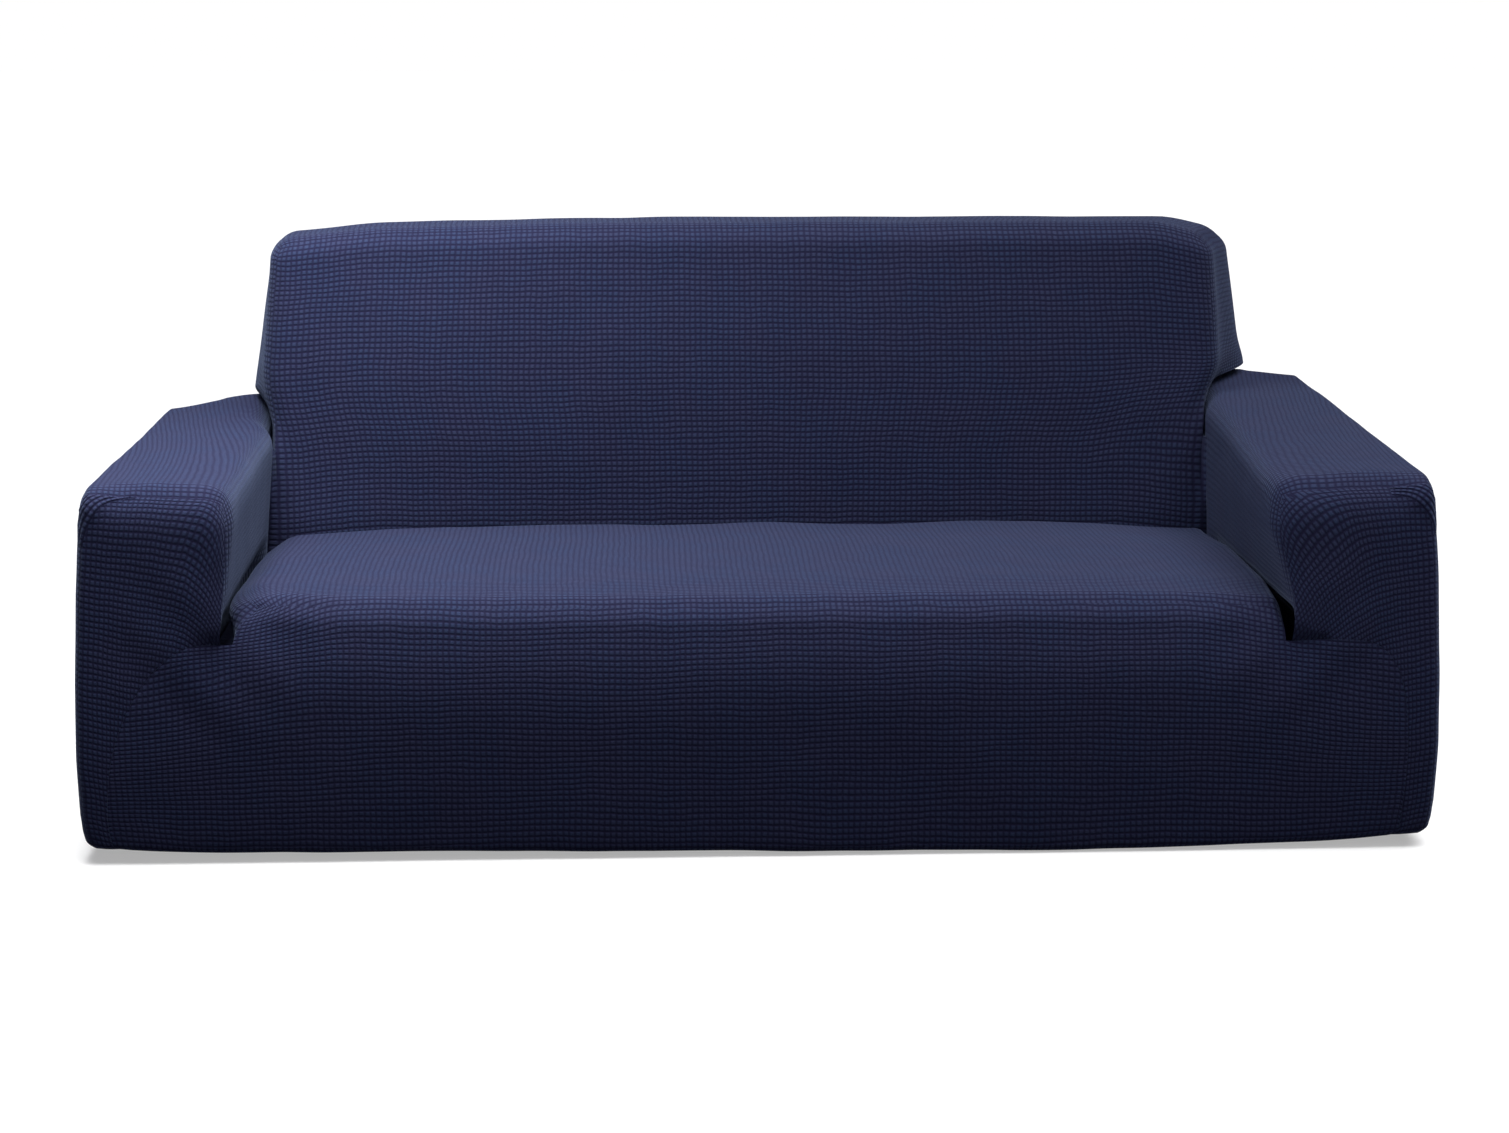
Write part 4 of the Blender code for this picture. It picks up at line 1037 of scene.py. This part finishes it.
def knit_material(name):
    """Raised waffle cells with grooves in painted shade, soft nap and a fine yarn."""
    material = bpy.data.materials.new(name)
    nodes = Nodes(material)
    cells = nodes.add("ShaderNodeUVMap", {"uv_map": "cells"}).outputs["UV"]
    wobble = nodes.noise(cells, WOBBLE_SCALE, 2.0)[1]
    shift = nodes.add("ShaderNodeVectorMath", {"operation": "MULTIPLY_ADD"},
                      {0: wobble, 1: WOBBLE, 2: cells}).outputs[0]
    split = nodes.add("ShaderNodeSeparateXYZ", None, {"Vector": shift})
    across, along = split.outputs["X"], split.outputs["Y"]
    column = nodes.map_range(nodes.math("PINGPONG", across, 0.5), *CELL_EDGE, COLUMN_LOW, 1.0)
    course = nodes.map_range(nodes.math("PINGPONG", along, 0.5), *CELL_EDGE, COURSE_LOW, 1.0)
    height = nodes.math("MULTIPLY", column, course)
    cell = nodes.add("ShaderNodeVectorMath", {"operation": "FLOOR"}, {0: shift}).outputs[0]
    speck = nodes.add("ShaderNodeTexWhiteNoise", {"noise_dimensions": "2D"},
                      {"Vector": cell}).outputs["Value"]
    yarn = nodes.noise(cells, YARN_SCALE, 2.0)[0]
    patch = nodes.map_range(nodes.noise(cells, PATCH_SCALE, 2.0)[0], *PATCH_EDGE)
    thread = nodes.mix_color(patch, THREAD, THREAD_WARM)
    specks = nodes.map_range(speck, 0.0, 1.0, SPECK_LOW, 1.0, "LINEAR")
    # base colour: painted shade in the grooves, mixed by the cells' height, times random specks and
    # yarn tone
    groove_shade_and_specks = nodes.math("MULTIPLY", height, specks)
    yarns = nodes.map_range(yarn, *YARN_EDGE, YARN_LOW, 1.0, "LINEAR")
    groove_shade_and_specks = nodes.math("MULTIPLY", groove_shade_and_specks, yarns)
    nodes.feed(nodes.shader.inputs["Base Color"], nodes.mix_color(groove_shade_and_specks, PAINTED_GROOVE_SHADE, thread))
    relief = nodes.add("ShaderNodeBump", None,
                       {"Strength": 1.0, "Distance": CELL_BUMP, "Height": height})
    fine = nodes.add("ShaderNodeBump", None,
                     {"Strength": YARN_STRENGTH, "Distance": YARN_BUMP, "Height": yarn,
                      "Normal": relief.outputs["Normal"]})
    nodes.feed(nodes.shader.inputs["Normal"], fine.outputs["Normal"])
    set_inputs(nodes.shader, {"Roughness": ROUGHNESS, "Specular IOR Level": SPECULAR,
                              "Sheen Weight": SHEEN, "Sheen Roughness": SHEEN_ROUGHNESS,
                              "Sheen Tint": SHEEN_TINT})
    return material


def add_piece(shell, name, material):
    mesh = sheet_mesh(shell, name)
    mesh.materials.append(material)
    mesh.shade_smooth()
    mesh.set_sharp_from_angle(angle=pi / 3)
    piece = add_object("knit_" + name, mesh)
    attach(piece, "root")
    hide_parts(name)
    return piece


def build_cover():
    shell = Shell()
    lay_out_seat_and_skirt(shell)
    lay_out_inside_back(shell)
    lay_out_outside_back(shell)
    for end in ENDS:
        lay_out_sleeve(shell, end)
        lay_out_front_of_end(shell, end)
    shell.face_outward()
    shell.soften()
    material = knit_material("waffle_knit")
    for name in sorted(set(shell.pieces.values())):
        add_piece(shell, name, material)
    shell.mesh.free()


# ---- stage, light and camera ----
FLOOR_DROP = 0.002
FLOOR_SIZE = 80.0
BACKDROP_HEIGHT = 40.0
STAGE_ROUGHNESS = 0.9
STAGE_SPECULAR = 0.1
FLOOR_TONE = 0.55
FLOOR_GLOW = 0.40           # keeps the shadow under the hem pale
SKY_TINT = (0.36, 0.30, 1.0, 1.0)
SKY_LIGHT = 0.03
SUN_STRENGTH = 4.35
SUN_SOFTNESS = 1.10
SUN_TILT = 0.29             # the soft top light comes a little from the right
# Soft boxes: place, the point each is turned to, size and power, in the cover's own coordinates.
SOFT_BOXES = (
    ((-0.75, 0.15, 1.50), (-0.75, 0.15, 0.00), (0.7, 0.9), 30.0),
    ((-0.95, -0.60, 1.50), (-0.80, 0.00, 0.40), (0.8, 0.6), 8.0),
    ((0.95, -0.60, 1.50), (0.80, 0.00, 0.40), (0.8, 0.6), 5.5),
    ((-0.05, -1.00, 0.50), (-0.05, 0.00, 0.15), (1.0, 0.4), 1.0),
    ((0.80, -0.90, 0.70), (0.80, 0.00, 0.42), (0.4, 0.4), 1.1),
)
SENSOR_WIDTH = 36.0
LENS = 73.85
CLIP_END = 200.0
CAMERA_PLACE = (-0.2124, -3.9585, 1.1173)
CAMERA_DOWN = 0.1838
CAMERA_TURN = -0.0504


def stage_piece(name, corners, faces, tone, glow):
    """A plain pale surface that the camera sees but that throws no light on the cloth."""
    mesh = bpy.data.meshes.new(name)
    mesh.from_pydata(corners, [], faces)
    material = bpy.data.materials.new(name)
    material.use_nodes = True
    set_inputs(material.node_tree.nodes["Principled BSDF"],
               {"Base Color": (tone, tone, tone, 1.0), "Emission Color": (1.0, 1.0, 1.0, 1.0),
                "Emission Strength": glow, "Roughness": STAGE_ROUGHNESS,
                "Specular IOR Level": STAGE_SPECULAR})
    mesh.materials.append(material)
    piece = add_object(name, mesh)
    piece.visible_diffuse = False
    return piece


def add_stage():
    """The floor, and far out around it a wall, so that low views end in white as well."""
    half = FLOOR_SIZE / 2
    bottom = CAD_BOX[0][2] - FLOOR_DROP
    ring = ((-half, -half), (half, -half), (half, half), (-half, half))
    low = [(x, y, bottom) for x, y in ring]
    high = [(x, y, bottom + BACKDROP_HEIGHT) for x, y in ring]
    stage_piece("floor", low, [(0, 1, 2, 3)], FLOOR_TONE, FLOOR_GLOW)
    walls = [(i, (i + 1) % 4, (i + 1) % 4 + 4, i + 4) for i in range(4)]
    backdrop = stage_piece("backdrop", low + high, walls, 0.0, 1.0)
    backdrop.visible_glossy = False
    backdrop.visible_shadow = False
    backdrop.data.materials[0].cycles.emission_sampling = "NONE"


def add_lights():
    world = bpy.data.worlds.new("studio")
    world.use_nodes = True
    set_inputs(world.node_tree.nodes["Background"], {"Color": SKY_TINT, "Strength": SKY_LIGHT})
    bpy.context.scene.world = world
    sun = bpy.data.lights.new("top_light", "SUN")
    sun.energy = SUN_STRENGTH
    sun.angle = SUN_SOFTNESS
    add_object("top_light", sun).rotation_euler = Euler((0.0, SUN_TILT, 0.0))
    for place, aim, size, power in SOFT_BOXES:
        box = bpy.data.lights.new("soft_box", "AREA")
        box.shape = "RECTANGLE"
        box.size, box.size_y = size
        box.energy = power
        holder = add_object("soft_box", box)
        holder.visible_camera = False
        holder.location = Vector(place) - ORIGIN
        direction = Vector(aim) - Vector(place)
        holder.rotation_euler = direction.to_track_quat("-Z", "Y").to_euler()


def add_camera():
    """At the photograph's viewing angle: in front, a little left of the middle, looking down."""
    camera = bpy.data.cameras.new("camera")
    camera.sensor_width = SENSOR_WIDTH
    camera.lens = LENS
    camera.clip_end = CLIP_END
    holder = add_object("camera", camera)
    holder.location = Vector(CAMERA_PLACE) - ORIGIN
    holder.rotation_euler = Euler((pi / 2 - CAMERA_DOWN, 0.0, CAMERA_TURN))
    bpy.context.scene.camera = holder


build_cover()
add_stage()
add_lights()
add_camera()
bpy.context.scene.view_settings.view_transform = "Standard"
